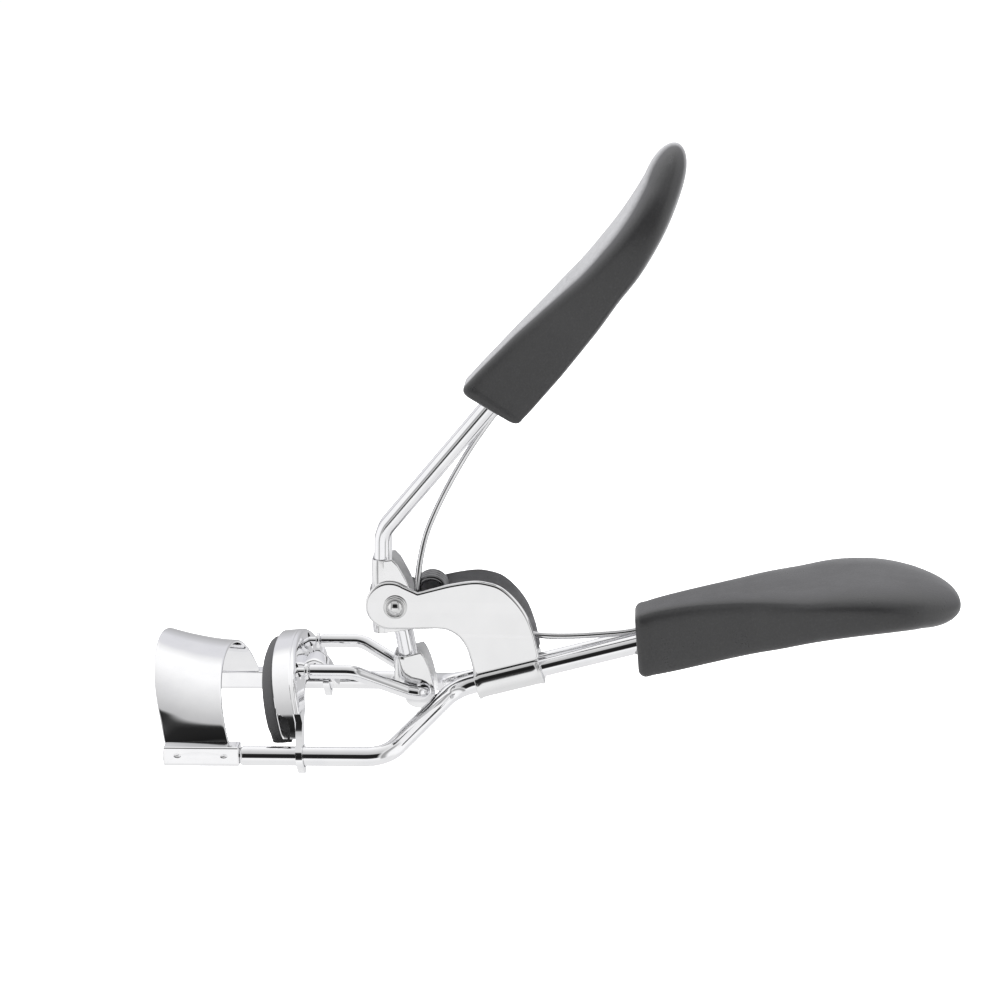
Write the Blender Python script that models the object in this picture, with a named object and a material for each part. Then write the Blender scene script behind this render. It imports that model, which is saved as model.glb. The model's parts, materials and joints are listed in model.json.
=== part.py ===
# Eyelash curler: a two-rod cage frame with a fixed curved jaw, a padded jaw that slides along
# the rods, and a sprung lever that pushes it through a bent wire.
# All working dimensions are in millimetres; the objects are made in metres, +Z up.
# +X runs along the cage rods from the jaws to the handles, +Y is the width of the jaws.
import math

import bpy
import bmesh
from mathutils import Matrix, Vector
from mathutils.geometry import tessellate_polygon

for old in list(bpy.data.objects):
    bpy.data.objects.remove(old, do_unlink=True)

MM = 0.001

# ---------------------------------------------------------------- driving dimensions (mm)
ORIGIN_X = 20.027         # from the working frame (pivot axis at X 0) to the part's origin
ORIGIN_Z = 2.098         # the lowest point of the jaw ears lies this far under the rod axis

CAGE_HALF = 15.25        # rod axis to the middle plane, in the jaw cage
ROD_R = 1.20             # frame rod radius
ROD_NECK_R = 0.92        # frame rod radius inside the rolled sleeve
ROD_PAIR_Y = 1.25        # half spacing of the two frame rods in the bracket and the grip
CAGE_END_X = -27.6
SLEEVE_X0, SLEEVE_X1 = -27.4, -18.2
BEND1_X = -0.35          # where the cage rods turn in and up
BEND2 = (7.20, 4.26)     # where they turn into the handle line
HANDLE_SLOPE = math.radians(14.66)

JAW_TILT = 0.268         # the jaw arches lean towards -X
ARCH_Z = 1.46            # height of the foot of the arches over the rod axis
FIX_HALF = 14.65
FIX_R_X, FIX_R_SAG = -19.59, 7.75     # edge that meets the pad
FIX_L_X, FIX_L_SAG = -27.60, 9.65     # flared outer edge
FIX_T = 0.45

PAD_FRONT_X, PAD_FRONT_SAG = -14.48, 8.15
PAD_MID_X, PAD_MID_SAG = -12.95, 8.80
PAD_BACK_X = -11.20
PAD_HALF = 14.30
PAD_DEPTH = 2.70
SHELL_FRONT_X, SHELL_FRONT_SAG = -12.78, 9.10
SHELL_BACK_X, SHELL_BACK_SAG = -10.05, 9.50
SHELL_HALF = 14.75
SHELL_T = 0.45
PLATE_T = 0.50
EAR_R = 2.10
EAR_BEND_Z = 2.60         # below this height in the jaw plane the ears stand upright
EAR_HOLE_R = 1.32

PIVOT = (0.0, 15.39)
LEVER_R = 1.05
LEVER_Y = 1.12
RIVET_R = 0.60
BOW_R = 1.72
YOKE = (3.30, 4.40)
CHEEK_Y0, CHEEK_Y1 = 2.62, 3.05
CLIP_Y0, CLIP_Y1 = 2.25, 2.54
FOLD_T = 0.18
PUSH_R = 0.88
PUSH_Y = 6.55
PUSH_Z = 8.05
NECK_R = 0.50
SPRING_WIRE_R = 0.40
SPRING_C = (4.42, 16.85)
SPRING_R = 1.65
SPRING_TURNS = 4

GRIP_AXIS_LOW = math.radians(14.66)
GRIP_ROOT_LOW = (30.70, 10.46)
GRIP_AXIS_UP = math.radians(47.6)
GRIP_ROOT_UP = (12.00, 40.80)


# ---------------------------------------------------------------- materials
def material(name, colour, roughness, metallic):
    mat = bpy.data.materials.new(name)
    mat.use_nodes = True
    bsdf = mat.node_tree.nodes["Principled BSDF"]
    bsdf.inputs["Base Color"].default_value = (*colour, 1.0)
    bsdf.inputs["Roughness"].default_value = roughness
    bsdf.inputs["Metallic"].default_value = metallic
    return mat


# ---------------------------------------------------------------- helpers
EMPTIES = {}


def world(p):
    """Working millimetres to the part's metres."""
    return Vector(((p[0] - ORIGIN_X) * MM, p[1] * MM, (p[2] + ORIGIN_Z) * MM))


def empty(name, at, parent=None):
    obj = bpy.data.objects.new(name, None)
    obj.empty_display_size = 0.004
    bpy.context.collection.objects.link(obj)
    obj.parent = EMPTIES[parent][0] if parent else None
    base = EMPTIES[parent][1] if parent else Vector((0, 0, 0))
    here = world(at)
    obj.location = here - base
    EMPTIES[name] = (obj, here)
    return obj


def make(name, verts, faces, mat, anchor=None, parent=None, smooth=35.0):
    """One closed body from world points in working millimetres."""
    base = EMPTIES[parent][1] if parent else Vector((0, 0, 0))
    here = world(anchor) if anchor else base
    mesh = bpy.data.meshes.new(name)
    mesh.from_pydata([world(v) - here for v in verts], [], faces)
    bm = bmesh.new()
    bm.from_mesh(mesh)
    bmesh.ops.remove_doubles(bm, verts=bm.verts, dist=2e-7)
    bmesh.ops.recalc_face_normals(bm, faces=bm.faces)
    bm.to_mesh(mesh)
    bm.free()
    mesh.materials.append(mat)
    mesh.shade_smooth()
    mesh.set_sharp_from_angle(angle=math.radians(smooth))
    obj = bpy.data.objects.new(name, mesh)
    bpy.context.collection.objects.link(obj)
    if parent:
        obj.parent = EMPTIES[parent][0]
    obj.location = here - base
    return obj


def boolean(obj, other, operation):
    """Apply a Boolean with another object and drop that object."""
    mod = obj.modifiers.new("bool", "BOOLEAN")
    mod.operation = operation
    mod.solver = "EXACT"
    mod.object = other
    bpy.context.view_layer.update()
    graph = bpy.context.evaluated_depsgraph_get()
    result = bpy.data.meshes.new_from_object(obj.evaluated_get(graph))
    obj.modifiers.clear()
    old = obj.data
    obj.data = result
    result.name = obj.name
    bpy.data.meshes.remove(old)
    bpy.data.objects.remove(other, do_unlink=True)
    return obj


def fillet(points, radii, step=14.0):
    """A polyline with its inner corners rounded; step is the turn per segment in degrees."""
    pts = [Vector(p) for p in points]
    out = [pts[0]]
    for i in range(1, len(pts) - 1):
        a = (pts[i - 1] - pts[i]).normalized()
        b = (pts[i + 1] - pts[i]).normalized()
        r = radii[i - 1]
        turn = math.pi - a.angle(b)
        if r <= 0 or turn < 1e-3:
            out.append(pts[i])
            continue
        reach = r * math.tan(turn / 2)
        start = pts[i] + a * reach
        centre = pts[i] + (a + b).normalized() * (r / math.cos(turn / 2))
        u = (start - centre).normalized()
        axis = a.cross(b).normalized()
        n = max(2, int(math.ceil(math.degrees(turn) / step)))
        for k in range(n + 1):
            rot = Matrix.Rotation(-turn * k / n, 3, axis)
            out.append(centre + rot @ u * r)
    out.append(pts[-1])
    return out


def tube(path, radius, sides=12, phase=0.0):
    """Closed round bar along a path; radius is a number or one value per point."""
    pts = [Vector(p) for p in path]
    n = len(pts)
    rad = [radius] * n if isinstance(radius, (int, float)) else list(radius)
    tan = []
    for i in range(n):
        d = pts[min(i + 1, n - 1)] - pts[max(i - 1, 0)]
        tan.append(d.normalized())
    ref = Vector((0, 1, 0)) if abs(tan[0].y) < 0.9 else Vector((0, 0, 1))
    u = (ref - tan[0] * ref.dot(tan[0])).normalized()
    verts, faces = [], []
    for i in range(n):
        if i:
            u = (u - tan[i] * u.dot(tan[i])).normalized()
        v = tan[i].cross(u)
        for k in range(sides):
            a = 2 * math.pi * k / sides + phase
            verts.append(pts[i] + (u * math.cos(a) + v * math.sin(a)) * rad[i])
    for i in range(n - 1):
        for k in range(sides):
            j = (k + 1) % sides
            faces.append((i * sides + k, i * sides + j, (i + 1) * sides + j, (i + 1) * sides + k))
    faces.append(tuple(range(sides))[::-1])
    faces.append(tuple((n - 1) * sides + k for k in range(sides)))
    return verts, faces


def prism(loops, place0, place1):
    """Closed plate: loops[0] is the outline and the others are holes, as 2-D points.
    place0 and place1 map a 2-D point to the two faces."""
    flat = [[Vector((p[0], p[1], 0)) for p in loop] for loop in loops]
    tris = tessellate_polygon(flat)
    pts = [p for loop in loops for p in loop]
    m = len(pts)
    verts = [place0(p) for p in pts] + [place1(p) for p in pts]
    faces = [tuple(t) for t in tris] + [tuple(i + m for i in reversed(t)) for t in tris]
    at = 0
    for loop in loops:
        n = len(loop)
        for k in range(n):
            j = (k + 1) % n
            faces.append((at + k, at + j, at + j + m, at + k + m))
        at += n
    return verts, faces


def merge_sets(*sets):
    verts, faces = [], []
    for v, f in sets:
        base = len(verts)
        verts += list(v)
        faces += [tuple(i + base for i in face) for face in f]
    return verts, faces


def circle(cx, cz, r, n, phase=0.0):
    return [(cx + r * math.cos(2 * math.pi * k / n + phase), cz + r * math.sin(2 * math.pi * k / n + phase)) for k in range(n)]


def arc_pts(cx, cz, r, a0, a1, n):
    return [(cx + r * math.cos(math.radians(a0 + (a1 - a0) * k / n)), cz + r * math.sin(math.radians(a0 + (a1 - a0) * k / n))) for k in range(n + 1)]


def catmull(points, per=4):
    """Smooth open curve through 2-D points."""
    out = []
    n = len(points)
    for i in range(n - 1):
        p0 = points[max(i - 1, 0)]
        p1, p2 = points[i], points[i + 1]
        p3 = points[min(i + 2, n - 1)]
        for k in range(per):
            t = k / per
            out.append(tuple(0.5 * (2 * b + (c - a) * t + (2 * a - 5 * b + 4 * c - d) * t * t + (3 * b - a - 3 * c + d) * t ** 3)
                             for a, b, c, d in zip(p0, p1, p2, p3)))
    out.append(tuple(points[-1]))
    return out


def arch(half, sag, power, n, lift=0.0):
    """Superellipse arch from the near foot to the far foot as (y, z) in the jaw plane."""
    out = []
    for k in range(n + 1):
        a = math.pi * k / n
        c, s = math.cos(a), math.sin(a)
        y = -half * math.copysign(abs(c) ** (2 / power), c)
        z = sag * max(s, 0.0) ** (2 / power)
        out.append((y, z + lift))
    return out


def jaw_point(x, y, z):
    """Jaw plane to working space: the plane leans to -X and everything runs along X."""
    return (x - math.sin(JAW_TILT) * z, y, ARCH_Z + math.cos(JAW_TILT) * z)


def plate_point(x, y, z):
    """As jaw_point, but the ears under the bend stand upright, leaning slightly forwards."""
    if z >= EAR_BEND_Z:
        return jaw_point(x, y, z)
    return (x - math.sin(JAW_TILT) * EAR_BEND_Z - 0.05 * (EAR_BEND_Z - z), y, ARCH_Z + math.cos(JAW_TILT) * z)


def jaw_z(z):
    """Working height to jaw-plane height."""
    return (z - ARCH_Z) / math.cos(JAW_TILT)


def offset_in(loop, t):
    """Offset an arch (open polyline) to its inner side by t."""
    out = []
    n = len(loop)
    for i, p in enumerate(loop):
        a = loop[max(i - 1, 0)]
        b = loop[min(i + 1, n - 1)]
        d = Vector((b[0] - a[0], b[1] - a[1])).normalized()
        out.append((p[0] + d.y * t, p[1] - d.x * t))
    return out


# ---------------------------------------------------------------- materials of the sub-parts
CHROME = material("polished_chrome", (0.86, 0.86, 0.88), 0.08, 1.0)
CHROME_JAW = material("jaw_chrome", (0.88, 0.88, 0.90), 0.06, 1.0)
CHROME_PLATE = material("bracket_nickel", (0.80, 0.80, 0.81), 0.18, 1.0)
CHROME_CLIP = material("clip_nickel", (0.80, 0.80, 0.81), 0.16, 1.0)
STEEL_RIVET = material("rivet_steel", (0.70, 0.70, 0.71), 0.22, 1.0)
STEEL_SPRING = material("spring_steel", (0.72, 0.72, 0.74), 0.15, 1.0)
RUBBER = material("pad_rubber", (0.06, 0.06, 0.062), 0.75, 0.0)
PLASTIC = material("grip_plastic", (0.065, 0.065, 0.067), 0.55, 0.0)

empty("lever_axis", (PIVOT[0], 0, PIVOT[1]))
empty("push_wire_axis", (YOKE[0], 0, YOKE[1]), "lever_axis")
empty("jaw_carriage", (SHELL_BACK_X, 0, 0))

# ---------------------------------------------------------------- frame rods
END_LOW = 47.0
for name, side in (("frame_rod_near", -1), ("frame_rod_far", 1)):
    pts = [
        (CAGE_END_X, side * CAGE_HALF, 0),
        (-18.10, side * CAGE_HALF, 0),
        (-17.95, side * CAGE_HALF, 0),
        (BEND1_X, side * CAGE_HALF, 0),
        (BEND2[0], side * ROD_PAIR_Y, BEND2[1]),
        (END_LOW, side * ROD_PAIR_Y, BEND2[1] + (END_LOW - BEND2[0]) * math.tan(HANDLE_SLOPE)),
    ]
    path = fillet(pts, [0, 0, 4.2, 4.2])
    radii = [ROD_NECK_R if p.x < -18.05 else ROD_R for p in path]
    make(name, *tube(path, radii, 14), CHROME, anchor=(CAGE_END_X, side * CAGE_HALF, 0))

# ---------------------------------------------------------------- fixed jaw
# a flared curved strip standing on two sleeves that are rolled round the rod ends
N_ARCH = 36
right = arch(FIX_HALF, FIX_R_SAG, 2.0, N_ARCH)
left = arch(FIX_HALF, FIX_L_SAG, 2.0, N_ARCH)
foot = 0.28
right = [(right[0][0], -foot)] + right + [(right[-1][0], -foot)]
left = [(left[0][0], -foot)] + left + [(left[-1][0], -foot)]
right_in, left_in = offset_in(right, FIX_T), offset_in(left, FIX_T)
stations = [0.0, 0.25, 0.5, 0.75, 1.0]
rows = []
for s in stations:
    x = FIX_L_X + (FIX_R_X - FIX_L_X) * s
    flare = (1 - s) ** 1.7
    outer = [(a[0] + (b[0] - a[0]) * flare, a[1] + (b[1] - a[1]) * flare) for a, b in zip(right, left)]
    inner = [(a[0] + (b[0] - a[0]) * flare, a[1] + (b[1] - a[1]) * flare) for a, b in zip(right_in, left_in)]
    rows.append([jaw_point(x, *p) for p in outer] + [jaw_point(x, *p) for p in reversed(inner)])
m = len(rows[0])
verts = [v for row in rows for v in row]
faces = []
for i in range(len(rows) - 1):
    for k in range(m):
        j = (k + 1) % m
        faces.append((i * m + k, i * m + j, (i + 1) * m + j, (i + 1) * m + k))
half = m // 2
for base in (0, (len(rows) - 1) * m):
    for k in range(half - 1):
        faces.append((base + k, base + k + 1, base + m - 2 - k, base + m - 1 - k))
fixed = make("fixed_jaw", verts, faces, CHROME_JAW)
for side in (-1, 1):
    s_out, c_r = 1.28, 0.60
    outline = []
    for cx, cz, a0 in ((s_out - c_r, s_out - c_r, 0), (-(s_out - c_r), s_out - c_r, 90), (-(s_out - c_r), -(s_out - c_r), 180), (s_out - c_r, -(s_out - c_r), 270)):
        outline += arc_pts(cx, cz, c_r, a0, a0 + 90, 4)
    hole = circle(0, 0, 0.99, 16, math.pi / 16)
    y0 = side * CAGE_HALF
    v, f = prism([outline, hole], lambda p: (SLEEVE_X0, y0 + p[0], p[1]), lambda p: (SLEEVE_X1, y0 + p[0], p[1]))
    boolean(fixed, make("sleeve", v, f, CHROME_JAW), "UNION")

# ---------------------------------------------------------------- sliding jaw
N_S = 32
front_o = arch(SHELL_HALF, SHELL_FRONT_SAG, 2.3, N_S)
back_o = arch(SHELL_HALF, SHELL_BACK_SAG, 2.2, N_S)
front_i, back_i = offset_in(front_o, SHELL_T), offset_in(back_o, SHELL_T)


def ring_sheet(a0, a1, b0, b1, x0, x1, keep):
    """Curved sheet between the outlines a (outer) and b (inner) at x0 and x1."""
    sec0 = [jaw_point(x0, *a0[k]) for k in keep] + [jaw_point(x0, *b0[k]) for k in reversed(keep)]
    sec1 = [jaw_point(x1, *a1[k]) for k in keep] + [jaw_point(x1, *b1[k]) for k in reversed(keep)]
    m = len(sec0)
    verts = sec0 + sec1
    faces = [(k, (k + 1) % m, m + (k + 1) % m, m + k) for k in range(m)]
    h = m // 2
    for base in (0, m):
        for k in range(h - 1):
            faces.append((base + k, base + k + 1, base + m - 2 - k, base + m - 1 - k))
    return verts, faces


keep = list(range(4, N_S - 3))
shell = make("moving_jaw", *ring_sheet(front_o, back_o, front_i, back_i, SHELL_FRONT_X, SHELL_BACK_X + 0.1, keep), CHROME_JAW, parent="jaw_carriage")
# inner lip that carries the pad from below
lip_o = arch(PAD_HALF - PAD_DEPTH - 0.45, PAD_FRONT_SAG - PAD_DEPTH - 0.45, 2.3, N_S)
lip_i = offset_in(lip_o, SHELL_T)
lip = make("lip", *ring_sheet(lip_o, lip_o, lip_i, lip_i, SHELL_FRONT_X + 0.4, SHELL_BACK_X - 0.1, keep), CHROME_JAW)
boolean(shell, lip, "UNION")
# back plate: an arch band that ends in two ears with round holes on the cage rods
ear_c = CAGE_HALF
ear_z = jaw_z(0.0)
cz = 1 / math.cos(JAW_TILT)
outer = [p for p in arch(SHELL_HALF + 0.02, SHELL_BACK_SAG + 0.02, 2.2, N_S)][2:-2]
inner = [p for p in arch(PAD_HALF - PAD_DEPTH - 0.95, PAD_FRONT_SAG - PAD_DEPTH - 0.95, 2.3, N_S)]


def ear(side, a0, a1, n):
    return [(side * ear_c + EAR_R * math.cos(math.radians(a0 + (a1 - a0) * k / n)), ear_z + EAR_R * cz * math.sin(math.radians(a0 + (a1 - a0) * k / n))) for k in range(n + 1)]


loop = []
loop += ear(-1, 15, -200, 14)                   # near ear, clockwise from its inner side round the tip
loop += outer
loop += ear(1, 20, -195, 14)
loop += [p for p in reversed(inner)]
holes = []
for side in (-1, 1):
    holes.append([(side * ear_c + p[0], ear_z + p[1] * cz) for p in circle(0, 0, EAR_HOLE_R, 20)])
    holes.append([(side * PUSH_Y + p[0], jaw_z(PUSH_Z) + p[1]) for p in
                  arc_pts(0, 0.28, 0.78, 0, 180, 8) + arc_pts(0, -0.28, 0.78, 180, 360, 8)])
v, f = prism([loop] + holes, lambda p: (SHELL_BACK_X - PLATE_T, *p), lambda p: (SHELL_BACK_X, *p))
flat = bmesh.new()
corners = [flat.verts.new(p) for p in v]
for face in f:
    flat.faces.new([corners[k] for k in face])
bmesh.ops.bisect_plane(flat, geom=flat.verts[:] + flat.edges[:] + flat.faces[:], plane_co=(0, 0, EAR_BEND_Z), plane_no=(0, 0, 1), dist=1e-5)
bmesh.ops.triangulate(flat, faces=flat.faces[:])
flat.verts.index_update()
v = [plate_point(*vert.co) for vert in flat.verts]
f = [tuple(vert.index for vert in face.verts) for face in flat.faces]
flat.free()
plate = make("plate", v, f, CHROME_JAW)
boolean(shell, plate, "UNION")
# curled tab at the middle of the back plate
tab_line = [(-12.15, 6.75), (-11.25, 7.75), (-10.25, 7.95), (-9.15, 7.25), (-8.35, 5.9), (-7.7, 4.35)]
tab_pts = catmull(tab_line, 3)
tv, tf = [], []
for i, p in enumerate(tab_pts):
    a = tab_pts[max(i - 1, 0)]
    b = tab_pts[min(i + 1, len(tab_pts) - 1)]
    d = Vector((b[0] - a[0], b[1] - a[1])).normalized()
    nrm = Vector((-d.y, d.x)) * 0.22
    w = 2.3 - 0.5 * (i / (len(tab_pts) - 1)) ** 2
    for yy, sgn in ((-w, 1), (w, 1), (w, -1), (-w, -1)):
        tv.append((p[0] + nrm.x * sgn, yy, p[1] + nrm.y * sgn))
for i in range(len(tab_pts) - 1):
    for k in range(4):
        j = (k + 1) % 4
        tf.append((i * 4 + k, i * 4 + j, (i + 1) * 4 + j, (i + 1) * 4 + k))
tf.append((3, 2, 1, 0))
tf.append(tuple((len(tab_pts) - 1) * 4 + k for k in range(4)))
boolean(shell, make("tab", tv, tf, CHROME_JAW), "UNION")

# ---------------------------------------------------------------- lash pad
N_P = 30
secs = []
for x, sag, half, depth in ((PAD_FRONT_X, PAD_FRONT_SAG - 0.25, PAD_HALF - 0.2, PAD_DEPTH - 0.45), (PAD_FRONT_X + 0.22, PAD_FRONT_SAG, PAD_HALF, PAD_DEPTH),
                            (PAD_MID_X, PAD_FRONT_SAG + 0.2, PAD_HALF - 0.25, PAD_DEPTH - 0.02), (PAD_BACK_X, PAD_FRONT_SAG + 0.3, PAD_HALF - 0.25, PAD_DEPTH + 0.05)):
    o = arch(half, sag, 2.4 if x < PAD_MID_X else 2.25, N_P)
    i_ = arch(half - depth, sag - depth, 2.3, N_P)
    o = [(o[0][0], -0.35)] + o + [(o[-1][0], -0.35)]
    i_ = [(i_[0][0], -0.35)] + i_ + [(i_[-1][0], -0.35)]
    put = plate_point if x == PAD_BACK_X else jaw_point
    secs.append([put(x, *p) for p in o] + [put(x, *p) for p in reversed(i_)])
m = len(secs[0])
verts = [v for s in secs for v in s]
faces = []
for i in range(len(secs) - 1):
    for k in range(m):
        j = (k + 1) % m
        faces.append((i * m + k, i * m + j, (i + 1) * m + j, (i + 1) * m + k))
h = m // 2
for base in (0, (len(secs) - 1) * m):
    for k in range(h - 1):
        faces.append((base + k, base + k + 1, base + m - 2 - k, base + m - 1 - k))
make("lash_pad", verts, faces, RUBBER, parent="jaw_carriage")

# ---------------------------------------------------------------- pivot bracket
# folded sheet: two cheeks and a channel under the frame rods
BOSS = (-0.68, 15.50, 3.10)
ax = Vector((math.cos(HANDLE_SLOPE), math.sin(HANDLE_SLOPE)))
up = Vector((-ax.y, ax.x))
A0 = Vector((BEND2[0], BEND2[1]))
S0 = A0 + ax * 2.85          # start of the channel on the rod axis
S1 = A0 + ax * 11.30         # end of the channel
lift_s = 0.15
edge0 = tuple(S0 + up * lift_s)
edge1 = tuple(S1 + up * lift_s)
outline = arc_pts(BOSS[0], BOSS[1], BOSS[2], 56, 275, 20)
outline += catmull([(2.0, 12.42), (5.3, 12.50), (6.75, 12.2), (7.95, 11.35), (8.75, 10.1), (9.25, 8.55)], 3)
outline += [edge0, edge1]
outline += catmull([(17.85, 9.3), (17.62, 10.0), (17.18, 12.09), (16.32, 14.44), (14.94, 16.43), (13.22, 17.96), (11.47, 18.58), (9.73, 18.75), (7.12, 18.37), (4.90, 17.82), (2.80, 17.26)], 3)
outline += [(1.95, 17.66)]
hole = circle(PIVOT[0], PIVOT[1], 0.70, 24)
sets = []
for side in (-1, 1):
    v, f = prism([outline, hole], lambda p: (p[0], side * CHEEK_Y0, p[1]), lambda p: (p[0], side * CHEEK_Y1, p[1]))
    k0 = outline.index(edge0)
    m = len(outline) + len(hole)
    drop = (k0, k0 + 1, k0 + 1 + m, k0 + m)
    f = [face for face in f if face != drop]
    sets.append((v, f))
# channel: open section swept along the rod axis, sharing the cheeks' lower edges
RAD_IN = 1.27
n_c = 10
sec = []
cy = CHEEK_Y0 - RAD_IN
for t, rr in ((0, RAD_IN), (1, RAD_IN + CHEEK_Y1 - CHEEK_Y0)):
    line = [(-(cy + rr), lift_s)] if True else []
    line += [(-(cy) - rr * math.cos(math.radians(a)), -rr * math.sin(math.radians(a))) for a in [90 * k / 6 for k in range(7)]]
    line += [(cy + rr * math.sin(math.radians(a)), -rr * math.cos(math.radians(a))) for a in [90 * k / 6 for k in range(7)]]
    line += [((cy + rr), lift_s)]
    sec.append(line)
inner_l, outer_l = sec
m = len(inner_l)
verts, faces = [], []
for S in (S0, S1):
    for line in (inner_l, outer_l):
        for yy, hh in line:
            p = S + up * hh
            verts.append((p.x, yy, p.y))
for k in range(m - 1):
    faces.append((k, k + 1, 2 * m + k + 1, 2 * m + k))                     # inside
    faces.append((m + k, 3 * m + k, 3 * m + k + 1, m + k + 1))             # outside
    faces.append((k, m + k, m + k + 1, k + 1))                             # end at S0
    faces.append((2 * m + k, 2 * m + k + 1, 3 * m + k + 1, 3 * m + k))     # end at S1
sets.append((verts, faces))
make("pivot_bracket", *merge_sets(*sets), CHROME_PLATE)

# ---------------------------------------------------------------- lever rods
up50 = math.radians(49.9)
U1 = Vector((-1.58, 24.50))
corner_a = math.radians(223)
t_dir = Vector((-math.sin(corner_a), math.cos(corner_a)))
t_pt = Vector((BOW_R * math.cos(corner_a), PIVOT[1] + BOW_R * math.sin(corner_a)))
x_left = -BOW_R
corner = t_pt + t_dir * ((x_left - t_pt.x) / t_dir.x)
low1 = t_pt + t_dir * ((0.66 - t_pt.x) / t_dir.x)
low2 = Vector((1.70, 6.40))
U0 = U1 + Vector((math.cos(up50), math.sin(up50))) * 34.5
for name, side in (("lever_rod_near", -1), ("lever_rod_far", 1)):
    y = side * LEVER_Y
    pts = [(U0.x, y, U0.y), (U1.x, y, U1.y), (x_left, y, 17.6), (x_left, y, corner.y), (low1.x, y, low1.y), (low2.x, y, low2.y)]
    path = fillet(pts, [3.2, 6.0, BOW_R, 1.6])
    make(name, *tube(path, LEVER_R, 14), CHROME, parent="lever_axis")

# ---------------------------------------------------------------- clips on the lever rods


def fold_clip(name, outline, left_of, holes):
    """Sheet clip: two flat cheeks joined by a rounded fold on the -X side.
    outline is the cheek from the fold's top, clockwise, back to the fold's bottom;
    left_of gives the fold's outer X at a height."""
    sets = []
    m_out = len(outline)
    for side in (-1, 1):
        v, f = prism([outline] + holes, lambda p: (p[0], side * CLIP_Y0, p[1]), lambda p: (p[0], side * CLIP_Y1, p[1]))
        m = m_out + sum(len(hh) for hh in holes)
        f = [face for face in f if face != (m_out - 1, 0, m, m_out - 1 + m)]
        sets.append((v, f))
    top, bottom = Vector(outline[0]), Vector(outline[-1])
    n = 5
    verts, faces = [], []
    for end in (top, bottom):
        depth = end.x - left_of(end.y)
        for yy, rr_x in ((CLIP_Y0, depth - FOLD_T), (CLIP_Y1, depth)):
            rr_y = yy - LEVER_Y
            corner = []
            for k in range(n + 1):
                a = math.pi / 2 * k / n
                corner.append((rr_x * math.sin(a) ** (2 / 2.6), LEVER_Y + rr_y * math.cos(a) ** (2 / 2.6)))
            corner[-1] = (rr_x, LEVER_Y)
            verts += [(end.x - dx, -dy, end.y) for dx, dy in corner]
            verts += [(end.x - dx, dy, end.y) for dx, dy in reversed(corner)]
    q = 2 * (n + 1)
    for k in range(q - 1):
        faces.append((k, k + 1, 2 * q + k + 1, 2 * q + k))
        faces.append((q + k, 3 * q + k, 3 * q + k + 1, q + k + 1))
        faces.append((k, q + k, q + k + 1, k + 1))
        faces.append((2 * q + k, 2 * q + k + 1, 3 * q + k + 1, 3 * q + k))
    sets.append((verts, faces))
    return make(name, *merge_sets(*sets), CHROME_CLIP, parent="lever_axis")


fold_x = -1.55
pc_outline = [(fold_x, 21.15), (-0.35, 21.35)]
pc_outline += catmull([(0.35, 20.6), (1.0, 19.4), (1.62, 18.1), (2.05, 16.6), (2.2, 15.0), (2.15, 13.4), (2.05, 12.35)], 2)
pc_outline += [(fold_x, 11.75)]
fold_clip("pivot_clip", pc_outline, lambda z: -3.02, [circle(PIVOT[0], PIVOT[1], 0.70, 24)])

yc_outline = [(0.85, 8.75), (3.05, 9.35)]
yc_outline += catmull([(3.4, 8.9), (3.95, 7.6), (4.40, 6.0), (4.74, 4.4), (4.78, 3.6), (4.4, 2.7), (3.6, 2.12), (2.4, 2.08), (1.35, 2.6), (0.92, 3.5), (0.80, 4.4)], 2)
yc_outline += [(0.80, 5.55)]
yoke = fold_clip("yoke_clip", yc_outline, lambda z: -0.48 if z > 7 else -0.40, [circle(YOKE[0], YOKE[1], PUSH_R + 0.10, 20)])

# ---------------------------------------------------------------- rivet
profile = [(0.0, -4.02), (0.45, -3.95), (0.80, -3.78), (1.00, -3.52), (1.12, -3.42), (1.42, -3.44), (1.48, -3.30), (1.48, -3.09), (RIVET_R, -3.08)]
profile += [(r, -y) for r, y in reversed(profile)]
n = 24
verts, faces = [], []
index = []
for r, y in profile:
    if r == 0.0:
        index.append([len(verts)])
        verts.append((PIVOT[0], y, PIVOT[1]))
    else:
        index.append(list(range(len(verts), len(verts) + n)))
        verts += [(PIVOT[0] + r * math.cos(2 * math.pi * k / n), y, PIVOT[1] + r * math.sin(2 * math.pi * k / n)) for k in range(n)]
for a, b in zip(index, index[1:]):
    for k in range(n):
        j = (k + 1) % n
        if len(a) == 1:
            faces.append((a[0], b[j], b[k]))
        elif len(b) == 1:
            faces.append((a[k], a[j], b[0]))
        else:
            faces.append((a[k], a[j], b[j], b[k]))
make("pivot_rivet", verts, faces, STEEL_RIVET, anchor=(PIVOT[0], 0, PIVOT[1]))

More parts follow.
